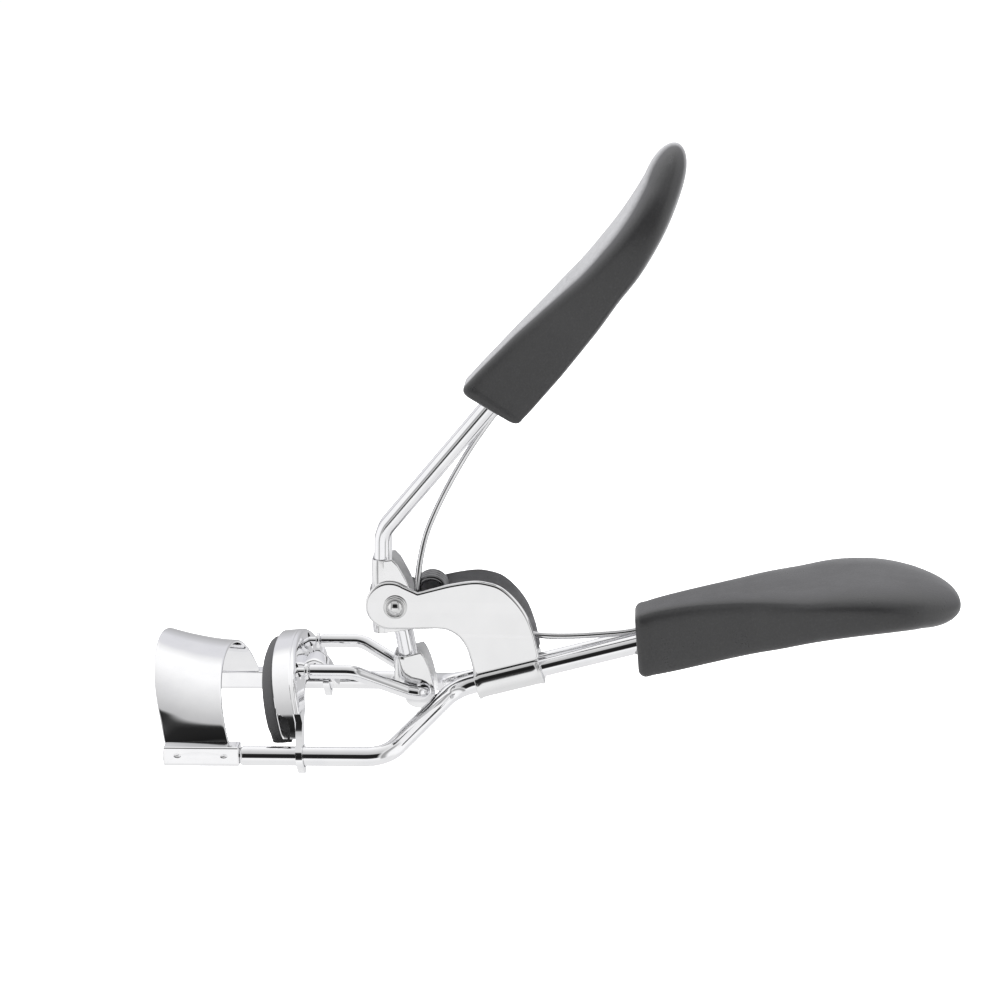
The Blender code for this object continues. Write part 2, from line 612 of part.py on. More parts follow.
# ---------------------------------------------------------------- push wire and its collars
pts = []
half_pts = [(-11.60, PUSH_Y, PUSH_Z), (-10.54, PUSH_Y, PUSH_Z), (-10.44, PUSH_Y, PUSH_Z), (-5.2, PUSH_Y, PUSH_Z), (1.4, 4.15, 4.75), (YOKE[0], 3.95, YOKE[1])]
near = [(x, -y, z) for x, y, z in half_pts]
far = list(reversed(half_pts))
pts = [(-12.60, -PUSH_Y, PUSH_Z)] + near + far + [(-12.60, PUSH_Y, PUSH_Z)]
path = fillet(pts, [0, 0, 0, 3.2, 1.4, 0.95, 0.95, 1.4, 3.2, 0, 0, 0], step=20.0)
radii = [NECK_R if p.x < -10.5 else PUSH_R for p in path]
make("push_wire", *tube(path, radii, 12), CHROME, anchor=(YOKE[0], 0, YOKE[1]), parent="push_wire_axis")
for name, side in (("push_wire_collar_near", -1), ("push_wire_collar_far", 1)):
    yc = side * PUSH_Y
    # turned collar that sits on the neck, in front of the wire's shoulder
    prof = [(0.56, -10.60), (0.90, -10.60), (1.02, -10.68), (1.02, -11.00), (0.92, -11.08), (0.56, -11.08)]
    n = 16
    verts = [(x, yc + r * math.cos(2 * math.pi * k / n), PUSH_Z + r * math.sin(2 * math.pi * k / n)) for r, x in prof for k in range(n)]
    q = len(prof)
    faces = [((i * n + k), (i * n + (k + 1) % n), (((i + 1) % q) * n + (k + 1) % n), (((i + 1) % q) * n + k)) for i in range(q) for k in range(n)]
    make(name, verts, faces, STEEL_RIVET, parent="push_wire_axis")

# ---------------------------------------------------------------- handle spring
w0 = SPRING_WIRE_R
pitch = 2 * w0 + 0.06
span = SPRING_TURNS * pitch
cx, cz_ = SPRING_C
# the coil starts where the upper arm leaves its left side and ends where the lower arm leaves below
a_start = math.radians(176)
turn = 2 * math.pi * SPRING_TURNS + math.radians(96)
n_turn = 16
n_c = int(n_turn * turn / (2 * math.pi))
coil = []
for k in range(n_c + 1):
    t = k / n_c
    a = a_start - turn * (1 - t) * 0 + turn * t
    coil.append(Vector((cx + SPRING_R * math.cos(a), -span / 2 - 0.1 + (span + 0.2) * t, cz_ + SPRING_R * math.sin(a))))
upper = [Vector(p) for p in ((14.1, -0.0, 41.45), (11.95, 0.0, 38.75), (9.35, -0.1, 35.0), (7.10, -0.3, 31.2), (5.25, -0.6, 27.6), (3.90, -1.0, 24.4), (3.15, -1.4, 21.4), (2.80, -1.68, 18.9))]
lower_dir_pts = [(5.2, 1.80, 15.35), (7.0, 1.55, 14.2), (10.0, 1.1, 12.7), (13.4, 0.6, 11.6), (17.4, 0.15, 10.95), (21.0, 0.0, 10.85), (25.4, 0.0, 11.1), (29.65, 0.0, 11.6), (36.0, 0.0, 13.18)]


def smooth3(points, per):
    out = []
    n = len(points)
    for i in range(n - 1):
        p0, p1, p2, p3 = points[max(i - 1, 0)], points[i], points[i + 1], points[min(i + 2, n - 1)]
        for k in range(per):
            t = k / per
            out.append(0.5 * (2 * p1 + (p2 - p0) * t + (2 * p0 - 5 * p1 + 4 * p2 - p3) * t * t + (3 * p1 - p0 - 3 * p2 + p3) * t ** 3))
    out.append(points[-1])
    return out


lower = [Vector(p) for p in lower_dir_pts]
route = smooth3(upper + [coil[0]], 2)[:-1] + coil + smooth3([coil[-1]] + lower, 2)[1:]
make("handle_spring", *tube(route, w0, 8), STEEL_SPRING)

# ---------------------------------------------------------------- grips
# stations along the grip: distance, outward shift of the middle line, half width, half thickness, squareness
GRIP = [
    (0.00, 0.00, 3.30, 3.75, 3.6),
    (0.45, 0.00, 3.62, 4.05, 3.6),
    (3.00, 0.00, 3.85, 4.05, 3.6),
    (8.00, 0.02, 4.75, 3.80, 3.5),
    (13.0, 0.10, 6.30, 3.45, 3.4),
    (17.0, 0.24, 8.00, 3.15, 3.3),
    (21.0, 0.46, 9.50, 2.80, 3.2),
    (25.0, 0.74, 10.45, 2.74, 3.1),
    (28.5, 1.30, 10.75, 2.66, 3.0),
    (31.5, 2.03, 10.40, 2.60, 2.8),
    (34.5, 3.05, 9.10, 2.48, 2.6),
    (37.0, 4.12, 6.80, 2.20, 2.4),
    (38.6, 4.88, 4.20, 1.62, 2.2),
    (39.3, 5.20, 2.10, 0.95, 2.0),
]


def grip(name, root, angle, outward, parent, pocket, thick, curl, stretch):
    d = Vector((math.cos(angle), math.sin(angle)))
    o = Vector((-d.y, d.x)) * outward          # points to the outer side of the handle
    n = 28
    mids = [Vector(root) + d * s * stretch + o * h * curl for s, h, *_ in GRIP]
    verts, faces = [], []
    for i, (s, h, w, t, sq) in enumerate(GRIP):
        a = mids[max(i - 1, 0)]
        b = mids[min(i + 1, len(mids) - 1)]
        tan = (b - a).normalized()
        nrm = Vector((-tan.y, tan.x)) * outward
        if i < 4:
            nrm = o
        t *= 1 + (thick - 1) * min(1.0, s / 12.0)
        for k in range(n):
            ang = 2 * math.pi * (k + 0.5) / n
            c, sn = math.cos(ang), math.sin(ang)
            yy = w * math.copysign(abs(c) ** (2 / sq), c)
            hh = t * math.copysign(abs(sn) ** (2 / sq), sn)
            # the root face leans: its inner side starts further along than its outer side
            p = mids[i] + nrm * hh - d * (0.80 * hh / t) * max(0.0, 1 - s / 8.0)
            verts.append((p.x, yy, p.y))
    for i in range(len(GRIP) - 1):
        for k in range(n):
            j = (k + 1) % n
            faces.append((i * n + k, i * n + j, (i + 1) * n + j, (i + 1) * n + k))
    faces.append(tuple(range(n)))
    faces.append(tuple((len(GRIP) - 1) * n + k for k in range(n)))
    body = make(name, verts, faces, PLASTIC, parent=parent)
    p0, dirp, half_y, lo, hi, depth = pocket
    dp = Vector((math.cos(dirp), math.sin(dirp)))
    upv = Vector((-dp.y, dp.x))
    q = []
    for y0, h0 in ((-half_y, lo), (half_y, lo), (half_y, hi), (-half_y, hi)):
        q.append((y0, h0))
    verts = []
    for s in (-3.0, depth):
        for y0, h0 in q:
            p = Vector(p0) + dp * s + upv * h0
            verts.append((p.x, y0, p.y))
    faces = [(0, 1, 2, 3), (7, 6, 5, 4)] + [(k, 4 + k, 4 + (k + 1) % 4, (k + 1) % 4) for k in range(4)]
    cut = make(name + "_pocket", verts, faces, PLASTIC)
    return boolean(body, cut, "DIFFERENCE")


rod_at = A0 + ax * ((GRIP_ROOT_LOW[0] - A0.x) / ax.x)
grip("lower_grip", GRIP_ROOT_LOW, GRIP_AXIS_LOW, -1, None, (tuple(rod_at), HANDLE_SLOPE, 2.62, -1.35, 2.15, 19.0), 1.06, 1.0, 1.0)
u_dir = Vector((math.cos(up50), math.sin(up50)))
rod_up = U1 + u_dir * 21.0
grip("upper_grip", GRIP_ROOT_UP, GRIP_AXIS_UP, 1, "lever_axis", (tuple(rod_up), up50, 2.36, -2.30, 1.25, 16.0), 0.96, 0.86, 0.988)

bpy.context.view_layer.update()
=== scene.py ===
# The looks of the eyelash curler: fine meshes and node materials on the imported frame.
import json
import math

import bpy
import bmesh
from mathutils import Matrix, Vector
from mathutils.geometry import tessellate_polygon


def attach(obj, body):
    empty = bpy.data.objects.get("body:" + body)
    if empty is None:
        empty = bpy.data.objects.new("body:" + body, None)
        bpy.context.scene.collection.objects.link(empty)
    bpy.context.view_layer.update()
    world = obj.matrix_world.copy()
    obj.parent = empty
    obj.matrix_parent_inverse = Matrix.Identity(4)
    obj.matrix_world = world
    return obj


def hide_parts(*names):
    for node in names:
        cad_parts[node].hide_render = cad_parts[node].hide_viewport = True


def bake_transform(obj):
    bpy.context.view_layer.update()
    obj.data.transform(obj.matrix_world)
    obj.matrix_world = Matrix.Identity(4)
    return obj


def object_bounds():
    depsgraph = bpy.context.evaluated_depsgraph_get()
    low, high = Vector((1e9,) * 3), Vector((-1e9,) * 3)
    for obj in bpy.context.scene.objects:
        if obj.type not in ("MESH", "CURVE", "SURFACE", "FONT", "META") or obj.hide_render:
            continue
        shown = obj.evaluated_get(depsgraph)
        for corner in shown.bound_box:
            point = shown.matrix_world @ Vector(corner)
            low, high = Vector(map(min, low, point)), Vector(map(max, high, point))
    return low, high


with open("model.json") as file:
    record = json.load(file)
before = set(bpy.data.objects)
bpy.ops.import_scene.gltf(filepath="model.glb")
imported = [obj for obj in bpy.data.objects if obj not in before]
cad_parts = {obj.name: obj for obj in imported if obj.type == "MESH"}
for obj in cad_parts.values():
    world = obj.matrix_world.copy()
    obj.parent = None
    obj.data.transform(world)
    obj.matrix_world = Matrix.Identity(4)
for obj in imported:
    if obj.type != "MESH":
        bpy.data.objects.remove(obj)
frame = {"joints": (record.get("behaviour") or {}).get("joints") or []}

CAD_BOX = [list(c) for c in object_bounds()]

# ---------------------------------------------------------------- place of the working frame
# working millimetres: pivot axis at X 0, cage rod axis at Z 0, so the lever hinge gives the offset
PIVOT = (0.0, 15.39)
_hinge = next(j for j in frame["joints"] if j["name"] == "lever_hinge")["pos_m"]
OFF_X = _hinge[0]
OFF_Z = _hinge[2] - PIVOT[1] * 0.001


def W(p):
    """Working millimetres to the row frame's metres."""
    return Vector((p[0] * 0.001 + OFF_X, p[1] * 0.001, p[2] * 0.001 + OFF_Z))


CAGE_HALF = 15.25
ROD_R = 1.20
ROD_NECK_R = 0.92
ROD_PAIR_Y = 1.25
CAGE_END_X = -27.6
SLEEVE_X0, SLEEVE_X1 = -27.4, -18.2
BEND1_X = -0.35
BEND2 = (7.20, 4.26)
HANDLE_SLOPE = math.radians(14.66)
JAW_TILT = 0.268
ARCH_Z = 1.46
FIX_HALF = 14.65
FIX_R_X, FIX_R_SAG = -19.59, 7.75
FIX_L_X, FIX_L_SAG = -27.60, 9.65
FIX_T = 0.45
PAD_FRONT_X, PAD_FRONT_SAG = -14.48, 8.15
PAD_BACK_X = -11.20
PAD_HALF = 14.30
PAD_DEPTH = 2.70
SHELL_FRONT_X, SHELL_FRONT_SAG = -12.78, 9.10
SHELL_BACK_X, SHELL_BACK_SAG = -10.05, 9.50
SHELL_HALF = 14.75
SHELL_T = 0.45
PLATE_T = 0.50
EAR_R = 2.10
EAR_BEND_Z = 2.60
EAR_HOLE_R = 1.32
LEVER_R = 1.05
LEVER_Y = 1.12
RIVET_R = 0.60
BOW_R = 1.72
YOKE = (3.30, 4.40)
CHEEK_Y0, CHEEK_Y1 = 2.62, 3.05
CLIP_Y0, CLIP_Y1 = 2.25, 2.54
FOLD_T = 0.18
PUSH_R = 0.88
PUSH_Y = 6.55
PUSH_Z = 8.05
NECK_R = 0.50
SPRING_WIRE_R = 0.40
SPRING_C = (4.42, 16.85)
SPRING_R = 1.65
SPRING_TURNS = 4
GRIP_AXIS_LOW = math.radians(14.66)
GRIP_ROOT_LOW = (30.70, 10.46)
GRIP_AXIS_UP = math.radians(47.6)
GRIP_ROOT_UP = (12.00, 40.80)


# ---------------------------------------------------------------- node materials
def _tree(name):
    mat = bpy.data.materials.new(name)
    mat.use_nodes = True
    nt = mat.node_tree
    for n in list(nt.nodes):
        nt.nodes.remove(n)
    out = nt.nodes.new("ShaderNodeOutputMaterial")
    bsdf = nt.nodes.new("ShaderNodeBsdfPrincipled")
    nt.links.new(bsdf.outputs[0], out.inputs[0])
    tc = nt.nodes.new("ShaderNodeTexCoord")
    return mat, nt, bsdf, tc


def _noise(nt, vec, scale, detail=4.0, rough=0.55, stretch=None):
    if stretch:
        mp = nt.nodes.new("ShaderNodeMapping")
        mp.inputs["Scale"].default_value = stretch
        nt.links.new(vec, mp.inputs["Vector"])
        vec = mp.outputs[0]
    n = nt.nodes.new("ShaderNodeTexNoise")
    n.inputs["Scale"].default_value = scale
    n.inputs["Detail"].default_value = detail
    n.inputs["Roughness"].default_value = rough
    nt.links.new(vec, n.inputs["Vector"])
    return n.outputs["Fac"]


def _range(nt, fac, a, b, lo=0.3, hi=0.7):
    m = nt.nodes.new("ShaderNodeMapRange")
    m.inputs["From Min"].default_value = lo
    m.inputs["From Max"].default_value = hi
    m.inputs["To Min"].default_value = a
    m.inputs["To Max"].default_value = b
    nt.links.new(fac, m.inputs["Value"])
    return m.outputs[0]


def _math(nt, op, a, b):
    m = nt.nodes.new("ShaderNodeMath")
    m.operation = op
    for i, v in enumerate((a, b)):
        if isinstance(v, (int, float)):
            m.inputs[i].default_value = v
        else:
            nt.links.new(v, m.inputs[i])
    return m.outputs[0]


def _mix(nt, fac, a, b):
    m = nt.nodes.new("ShaderNodeMix")
    m.data_type = "RGBA"
    ins = [s for s in m.inputs if s.type == "RGBA"]
    for s, v in zip(ins, (a, b)):
        if isinstance(v, tuple):
            s.default_value = (*v, 1.0)
        else:
            nt.links.new(v, s)
    f = m.inputs[0]
    if isinstance(fac, (int, float)):
        f.default_value = fac
    else:
        nt.links.new(fac, f)
    return [s for s in m.outputs if s.type == "RGBA"][0]


def _bump(nt, height, strength, distance, normal=None):
    b = nt.nodes.new("ShaderNodeBump")
    b.inputs["Strength"].default_value = strength
    b.inputs["Distance"].default_value = distance
    nt.links.new(height, b.inputs["Height"])
    if normal is not None:
        nt.links.new(normal, b.inputs["Normal"])
    return b.outputs[0]


def _edge(nt, lo, hi):
    """1 on convex edges, 0 elsewhere."""
    g = nt.nodes.new("ShaderNodeNewGeometry")
    return _range(nt, g.outputs["Pointiness"], 0.0, 1.0, lo, hi)


def metal(name, colour, smudge_tone_and_coil_shade, rough, rough_var, grain=0.0, grain_dir=(1, 1, 1), wear=0.06, scratch=0.3, ripple=0.05):
    """Plated metal: smudged polish, hairline scratches, brighter rubbed edges."""
    mat, nt, bsdf, tc = _tree(name)
    obj = tc.outputs["Object"]
    smudge = _noise(nt, obj, 260.0, 5.0, 0.6)
    fine = _noise(nt, obj, 2600.0, 3.0, 0.6)
    hair = _noise(nt, obj, 900.0, 2.0, 0.5, stretch=(0.12, 2.2, 5.0))
    hair = _range(nt, hair, 0.0, 1.0, 0.60, 0.70)
    edge = _edge(nt, 0.52, 0.60)
    col = _mix(nt, _range(nt, smudge, 0.0, 1.0, 0.38, 0.66), colour, smudge_tone_and_coil_shade)
    col = _mix(nt, _math(nt, "MULTIPLY", edge, 0.5), col, tuple(min(1.0, c * 1.06) for c in colour))
    nt.links.new(col, bsdf.inputs["Base Color"])
    bsdf.inputs["Metallic"].default_value = 1.0
    r = _math(nt, "ADD", _range(nt, smudge, rough - rough_var * 0.5, rough + rough_var, 0.35, 0.68), _math(nt, "MULTIPLY", _math(nt, "SUBTRACT", fine, 0.5), rough_var * 0.8))
    r = _math(nt, "ADD", r, _math(nt, "MULTIPLY", hair, 0.05 * scratch))
    r = _math(nt, "ADD", r, _math(nt, "MULTIPLY", edge, wear))
    r = _math(nt, "MAXIMUM", r, 0.02)
    nt.links.new(r, bsdf.inputs["Roughness"])
    n = _bump(nt, hair, 0.06 * scratch, 0.000004)
    if grain:
        g = _noise(nt, obj, 5200.0, 3.0, 0.65, stretch=grain_dir)
        n = _bump(nt, g, grain, 0.000006, n)
    wave = _noise(nt, obj, 130.0, 2.0, 0.5)
    n = _bump(nt, wave, ripple, 0.00006, n)
    nt.links.new(n, bsdf.inputs["Normal"])
    return mat


def moulded(name, colour, light, rough, speck, spec=0.5, sheen=0.0):
    """Moulded plastic or rubber with a fine spark-eroded texture."""
    mat, nt, bsdf, tc = _tree(name)
    obj = tc.outputs["Object"]
    cloud = _noise(nt, obj, 190.0, 4.0, 0.6)
    grit = _noise(nt, obj, 3600.0, 4.0, 0.75)
    vor = nt.nodes.new("ShaderNodeTexVoronoi")
    vor.inputs["Scale"].default_value = 3400.0
    nt.links.new(obj, vor.inputs["Vector"])
    cells = _range(nt, vor.outputs["Distance"], 1.0, 0.0, 0.05, 0.65)
    edge = _edge(nt, 0.51, 0.57)
    col = _mix(nt, _range(nt, cloud, 0.0, 1.0, 0.35, 0.7), colour, tuple(c * 1.10 for c in colour))
    col = _mix(nt, _range(nt, grit, 0.0, 0.45, 0.52, 0.75), col, light)
    col = _mix(nt, _math(nt, "MULTIPLY", edge, 0.25), col, light)
    nt.links.new(col, bsdf.inputs["Base Color"])
    bsdf.inputs["Metallic"].default_value = 0.0
    bsdf.inputs["Specular IOR Level"].default_value = spec
    r = _math(nt, "ADD", _range(nt, cloud, rough - 0.04, rough + 0.06, 0.35, 0.7), _math(nt, "MULTIPLY", _math(nt, "SUBTRACT", grit, 0.5), 0.25))
    r = _math(nt, "SUBTRACT", r, _math(nt, "MULTIPLY", edge, 0.06))
    nt.links.new(r, bsdf.inputs["Roughness"])
    h = _math(nt, "ADD", _math(nt, "MULTIPLY", grit, 0.7), _math(nt, "MULTIPLY", cells, 0.5))
    nt.links.new(_bump(nt, h, speck, 0.00003), bsdf.inputs["Normal"])
    if sheen:
        # painted sheen: the base colour is lightened towards grazing angles (layer weight facing), broken up by fine
        # noise
        lw = nt.nodes.new("ShaderNodeLayerWeight")
        lw.inputs["Blend"].default_value = 0.5
        sheen_speckle = _range(nt, _noise(nt, obj, 2600.0, 4.0, 0.8), 0.55, 1.0, 0.38, 0.66)
        rim = _math(nt, "MULTIPLY", _range(nt, lw.outputs["Facing"], 0.0, sheen, 0.74, 0.92), sheen_speckle)
        col = _mix(nt, rim, col, (0.62, 0.62, 0.64))
        nt.links.new(col, bsdf.inputs["Base Color"])
    return mat


CHROME = metal("cage_chrome_plate", (0.93, 0.93, 0.94), (0.88, 0.88, 0.90), 0.045, 0.03)
CHROME_JAW = metal("jaw_chrome_plate", (0.94, 0.94, 0.95), (0.90, 0.90, 0.915), 0.05, 0.03)
NICKEL = metal("bracket_nickel_plate", (0.835, 0.835, 0.84), (0.815, 0.815, 0.82), 0.075, 0.03, grain=0.03, grain_dir=(0.4, 1.0, 1.6), scratch=0.10, ripple=0.012)
# painted shade: a darker, duller copy of the bracket nickel for the cheeks' inner faces, which face into the gap
NICKEL_SHADED_INNER = metal("bracket_inner_face_painted_shade", (0.62, 0.62, 0.63), (0.48, 0.48, 0.49), 0.42, 0.10, grain=0.12, scratch=0.4, ripple=0.03)
# painted light: a lighter, rougher, part-metallic copy of the clip plating for the clip's inner faces, which sit in
# shade
NICKEL_CLIP_IN_LIT = metal("clip_inner_face_painted_light", (0.90, 0.90, 0.905), (0.86, 0.86, 0.865), 0.50, 0.08, grain=0.05, scratch=0.2, ripple=0.02)
for _n in NICKEL_CLIP_IN_LIT.node_tree.nodes:
    if _n.type == "BSDF_PRINCIPLED":
        _n.inputs["Metallic"].default_value = 0.25
NICKEL_CLIP = metal("clip_nickel_plate", (0.85, 0.85, 0.855), (0.82, 0.82, 0.825), 0.085, 0.03, grain=0.03, grain_dir=(1.6, 1.0, 0.4), scratch=0.10, ripple=0.012)
STEEL = metal("rivet_headed_steel", (0.80, 0.80, 0.80), (0.68, 0.68, 0.68), 0.12, 0.08, grain=0.06)
SPRING = metal("spring_plated_wire", (0.84, 0.84, 0.85), (0.74, 0.74, 0.75), 0.09, 0.05)
RUBBER = moulded("pad_silicone_rubber", (0.046, 0.046, 0.048), (0.075, 0.075, 0.077), 0.60, 0.22, spec=0.32)
# painted sheen on the grips: stronger on the upper grip, weaker on the lower
PLASTIC = moulded("grip_moulded_plastic", (0.027, 0.027, 0.028), (0.052, 0.052, 0.054), 0.34, 0.35, spec=0.42, sheen=0.58)
PLASTIC_LOW = moulded("grip_moulded_plastic_lower", (0.029, 0.029, 0.030), (0.056, 0.056, 0.058), 0.34, 0.35, spec=0.45, sheen=0.16)


# ---------------------------------------------------------------- mesh helpers
def merge_sets(*sets):
    verts, faces = [], []
    for v, f in sets:
        base = len(verts)
        verts += list(v)
        faces += [tuple(i + base for i in face) for face in f]
    return verts, faces


def build(name, sets, mat, smooth=38.0, bevel=None, bevel_segments=3, bevel_angle=35.0, dist=1e-7):
    """One object from sets of (verts in working millimetres, faces)."""
    verts, faces = merge_sets(*sets)
    mesh = bpy.data.meshes.new(name)
    mesh.from_pydata([W(v) for v in verts], [], faces)
    bm = bmesh.new()
    bm.from_mesh(mesh)
    bmesh.ops.remove_doubles(bm, verts=bm.verts, dist=dist)
    bmesh.ops.dissolve_degenerate(bm, dist=1e-8, edges=bm.edges)
    bmesh.ops.recalc_face_normals(bm, faces=bm.faces)
    bm.to_mesh(mesh)
    bm.free()
    mesh.materials.append(mat)
    mesh.shade_smooth()
    mesh.set_sharp_from_angle(angle=math.radians(smooth))
    obj = bpy.data.objects.new(name, mesh)
    bpy.context.scene.collection.objects.link(obj)
    if bevel:
        mod = obj.modifiers.new("edge_rounding", "BEVEL")
        mod.width = bevel * 0.001
        mod.segments = bevel_segments
        mod.limit_method = "ANGLE"
        mod.angle_limit = math.radians(bevel_angle)
        mod.harden_normals = True
        mod.use_clamp_overlap = True
    return obj


def freeze(obj):
    """Apply an object's modifiers to its mesh."""
    bpy.context.view_layer.update()
    graph = bpy.context.evaluated_depsgraph_get()
    result = bpy.data.meshes.new_from_object(obj.evaluated_get(graph))
    obj.modifiers.clear()
    old = obj.data
    obj.data = result
    result.name = obj.name
    bpy.data.meshes.remove(old)
    return obj


def boolean(obj, other, operation):
    mod = obj.modifiers.new("bool", "BOOLEAN")
    mod.operation = operation
    mod.solver = "EXACT"
    mod.object = other
    freeze(obj)
    bpy.data.objects.remove(other, do_unlink=True)
    return obj


def join(obj, *others):
    """Put the others' meshes into obj (modifiers applied)."""
    freeze(obj)
    bm = bmesh.new()
    bm.from_mesh(obj.data)
    for o in others:
        freeze(o)
        bm.from_mesh(o.data)
        bpy.data.objects.remove(o, do_unlink=True)
    bm.to_mesh(obj.data)
    bm.free()
    return obj


def fillet(points, radii, step=4.0):
    pts = [Vector(p) for p in points]
    out = [pts[0]]
    for i in range(1, len(pts) - 1):
        a = (pts[i - 1] - pts[i]).normalized()
        b = (pts[i + 1] - pts[i]).normalized()
        r = radii[i - 1]
        turn = math.pi - a.angle(b)
        if r <= 0 or turn < 1e-3:
            out.append(pts[i])
            continue
        reach = r * math.tan(turn / 2)
        start = pts[i] + a * reach
        centre = pts[i] + (a + b).normalized() * (r / math.cos(turn / 2))
        u = (start - centre).normalized()
        axis = a.cross(b).normalized()
        n = max(2, int(math.ceil(math.degrees(turn) / step)))
        for k in range(n + 1):
            out.append(centre + Matrix.Rotation(-turn * k / n, 3, axis) @ u * r)
    out.append(pts[-1])
    return out


def tube(path, radius, sides=40, round_end=0.25):
    """Round bar along a path, its end edges rounded; radius is a number or one value per point."""
    pts = [Vector(p) for p in path]
    n = len(pts)
    rad = [radius] * n if isinstance(radius, (int, float)) else list(radius)
    if round_end:
        steps = 4
        head_dir = (pts[1] - pts[0]).normalized()
        tail_dir = (pts[-1] - pts[-2]).normalized()
        head, tail, hr, tr = [], [], [], []
        for k in range(steps + 1):
            a = math.pi / 2 * k / steps
            e0 = round_end * rad[0]
            e1 = round_end * rad[-1]
            head.append(pts[0] + head_dir * (e0 * (1 - math.sin(a))))
            hr.append(rad[0] - e0 * (1 - math.cos(a)))
            tail.append(pts[-1] - tail_dir * (e1 * (1 - math.sin(a))))
            tr.append(rad[-1] - e1 * (1 - math.cos(a)))
        head = [pts[0] + head_dir * (round_end * rad[0] + 0.12)] + head
        tail = [pts[-1] - tail_dir * (round_end * rad[-1] + 0.12)] + tail
        hr, tr = [rad[0]] + hr, [rad[-1]] + tr
        pts = head[::-1] + pts[1:-1] + tail
        rad = hr[::-1] + rad[1:-1] + tr
        n = len(pts)
    tan = []
    for i in range(n):
        d = pts[min(i + 1, n - 1)] - pts[max(i - 1, 0)]
        if d.length < 1e-9:
            d = pts[min(i + 2, n - 1)] - pts[max(i - 2, 0)]
        tan.append(d.normalized())
    ref = Vector((0, 1, 0)) if abs(tan[0].y) < 0.9 else Vector((0, 0, 1))
    u = (ref - tan[0] * ref.dot(tan[0])).normalized()
    verts, faces = [], []
    for i in range(n):
        if i:
            u = (u - tan[i] * u.dot(tan[i])).normalized()
        v = tan[i].cross(u)
        for k in range(sides):
            a = 2 * math.pi * k / sides
            verts.append(pts[i] + (u * math.cos(a) + v * math.sin(a)) * rad[i])
    for i in range(n - 1):
        for k in range(sides):
            j = (k + 1) % sides
            faces.append((i * sides + k, i * sides + j, (i + 1) * sides + j, (i + 1) * sides + k))
    faces.append(tuple(range(sides))[::-1])
    faces.append(tuple((n - 1) * sides + k for k in range(sides)))
    return verts, faces


def loft(loops, caps=True):
    """Skin through closed loops with equal counts."""
    m = len(loops[0])
    verts = [p for loop in loops for p in loop]
    faces = []
    for i in range(len(loops) - 1):
        for k in range(m):
            j = (k + 1) % m
            faces.append((i * m + k, i * m + j, (i + 1) * m + j, (i + 1) * m + k))
    if caps:
        faces.append(tuple(range(m))[::-1])
        faces.append(tuple((len(loops) - 1) * m + k for k in range(m)))
    return verts, faces


def prism(loops, place0, place1):
    flat = [[Vector((p[0], p[1], 0)) for p in loop] for loop in loops]
    tris = tessellate_polygon(flat)
    pts = [p for loop in loops for p in loop]
    m = len(pts)
    verts = [place0(p) for p in pts] + [place1(p) for p in pts]
    faces = [tuple(t) for t in tris] + [tuple(i + m for i in reversed(t)) for t in tris]
    at = 0
    for loop in loops:
        n = len(loop)
        for k in range(n):
            j = (k + 1) % n
            faces.append((at + k, at + j, at + j + m, at + k + m))
        at += n
    return verts, faces


def circle(cx, cz, r, n, phase=0.0):
    return [(cx + r * math.cos(2 * math.pi * k / n + phase), cz + r * math.sin(2 * math.pi * k / n + phase)) for k in range(n)]


def arc_pts(cx, cz, r, a0, a1, n):
    return [(cx + r * math.cos(math.radians(a0 + (a1 - a0) * k / n)), cz + r * math.sin(math.radians(a0 + (a1 - a0) * k / n))) for k in range(n + 1)]


def catmull(points, per=8):
    out = []
    n = len(points)
    for i in range(n - 1):
        p0 = points[max(i - 1, 0)]
        p1, p2 = points[i], points[i + 1]
        p3 = points[min(i + 2, n - 1)]
        for k in range(per):
            t = k / per
            out.append(tuple(0.5 * (2 * b + (c - a) * t + (2 * a - 5 * b + 4 * c - d) * t * t + (3 * b - a - 3 * c + d) * t ** 3)
                             for a, b, c, d in zip(p0, p1, p2, p3)))
    out.append(tuple(points[-1]))
    return out


def arch(half, sag, power, n):
    out = []
    for k in range(n + 1):
        a = math.pi * k / n
        c, s = math.cos(a), math.sin(a)
        out.append((-half * math.copysign(abs(c) ** (2 / power), c), sag * max(s, 0.0) ** (2 / power)))
    return out


def jaw_point(x, y, z):
    return (x - math.sin(JAW_TILT) * z, y, ARCH_Z + math.cos(JAW_TILT) * z)


def plate_point(x, y, z):
    if z >= EAR_BEND_Z:
        return jaw_point(x, y, z)
    return (x - math.sin(JAW_TILT) * EAR_BEND_Z - 0.05 * (EAR_BEND_Z - z), y, ARCH_Z + math.cos(JAW_TILT) * z)


def jaw_z(z):
    return (z - ARCH_Z) / math.cos(JAW_TILT)


def normals_in(loop):
    out = []
    n = len(loop)
    for i in range(n):
        a = loop[max(i - 1, 0)]
        b = loop[min(i + 1, n - 1)]
        d = Vector((b[0] - a[0], b[1] - a[1])).normalized()
        out.append(Vector((d.y, -d.x)))
    return out


def inset(loop, d):
    """Closed outline moved inwards by d (outwards if negative), mitred."""
    n = len(loop)
    area = sum(loop[i][0] * loop[(i + 1) % n][1] - loop[(i + 1) % n][0] * loop[i][1] for i in range(n))
    turn = 1.0 if area > 0 else -1.0
    out = []
    for i in range(n):
        a, b, c = Vector(loop[i - 1]), Vector(loop[i]), Vector(loop[(i + 1) % n])
        e0, e1 = (b - a).normalized(), (c - b).normalized()
        n0, n1 = Vector((-e0.y, e0.x)) * turn, Vector((-e1.y, e1.x)) * turn
        m = n0 + n1
        if m.length < 1e-6:
            m = n0.copy()
        m.normalize()
        out.append(tuple(b + m * (d / max(0.45, m.dot(n0)))))
    return out


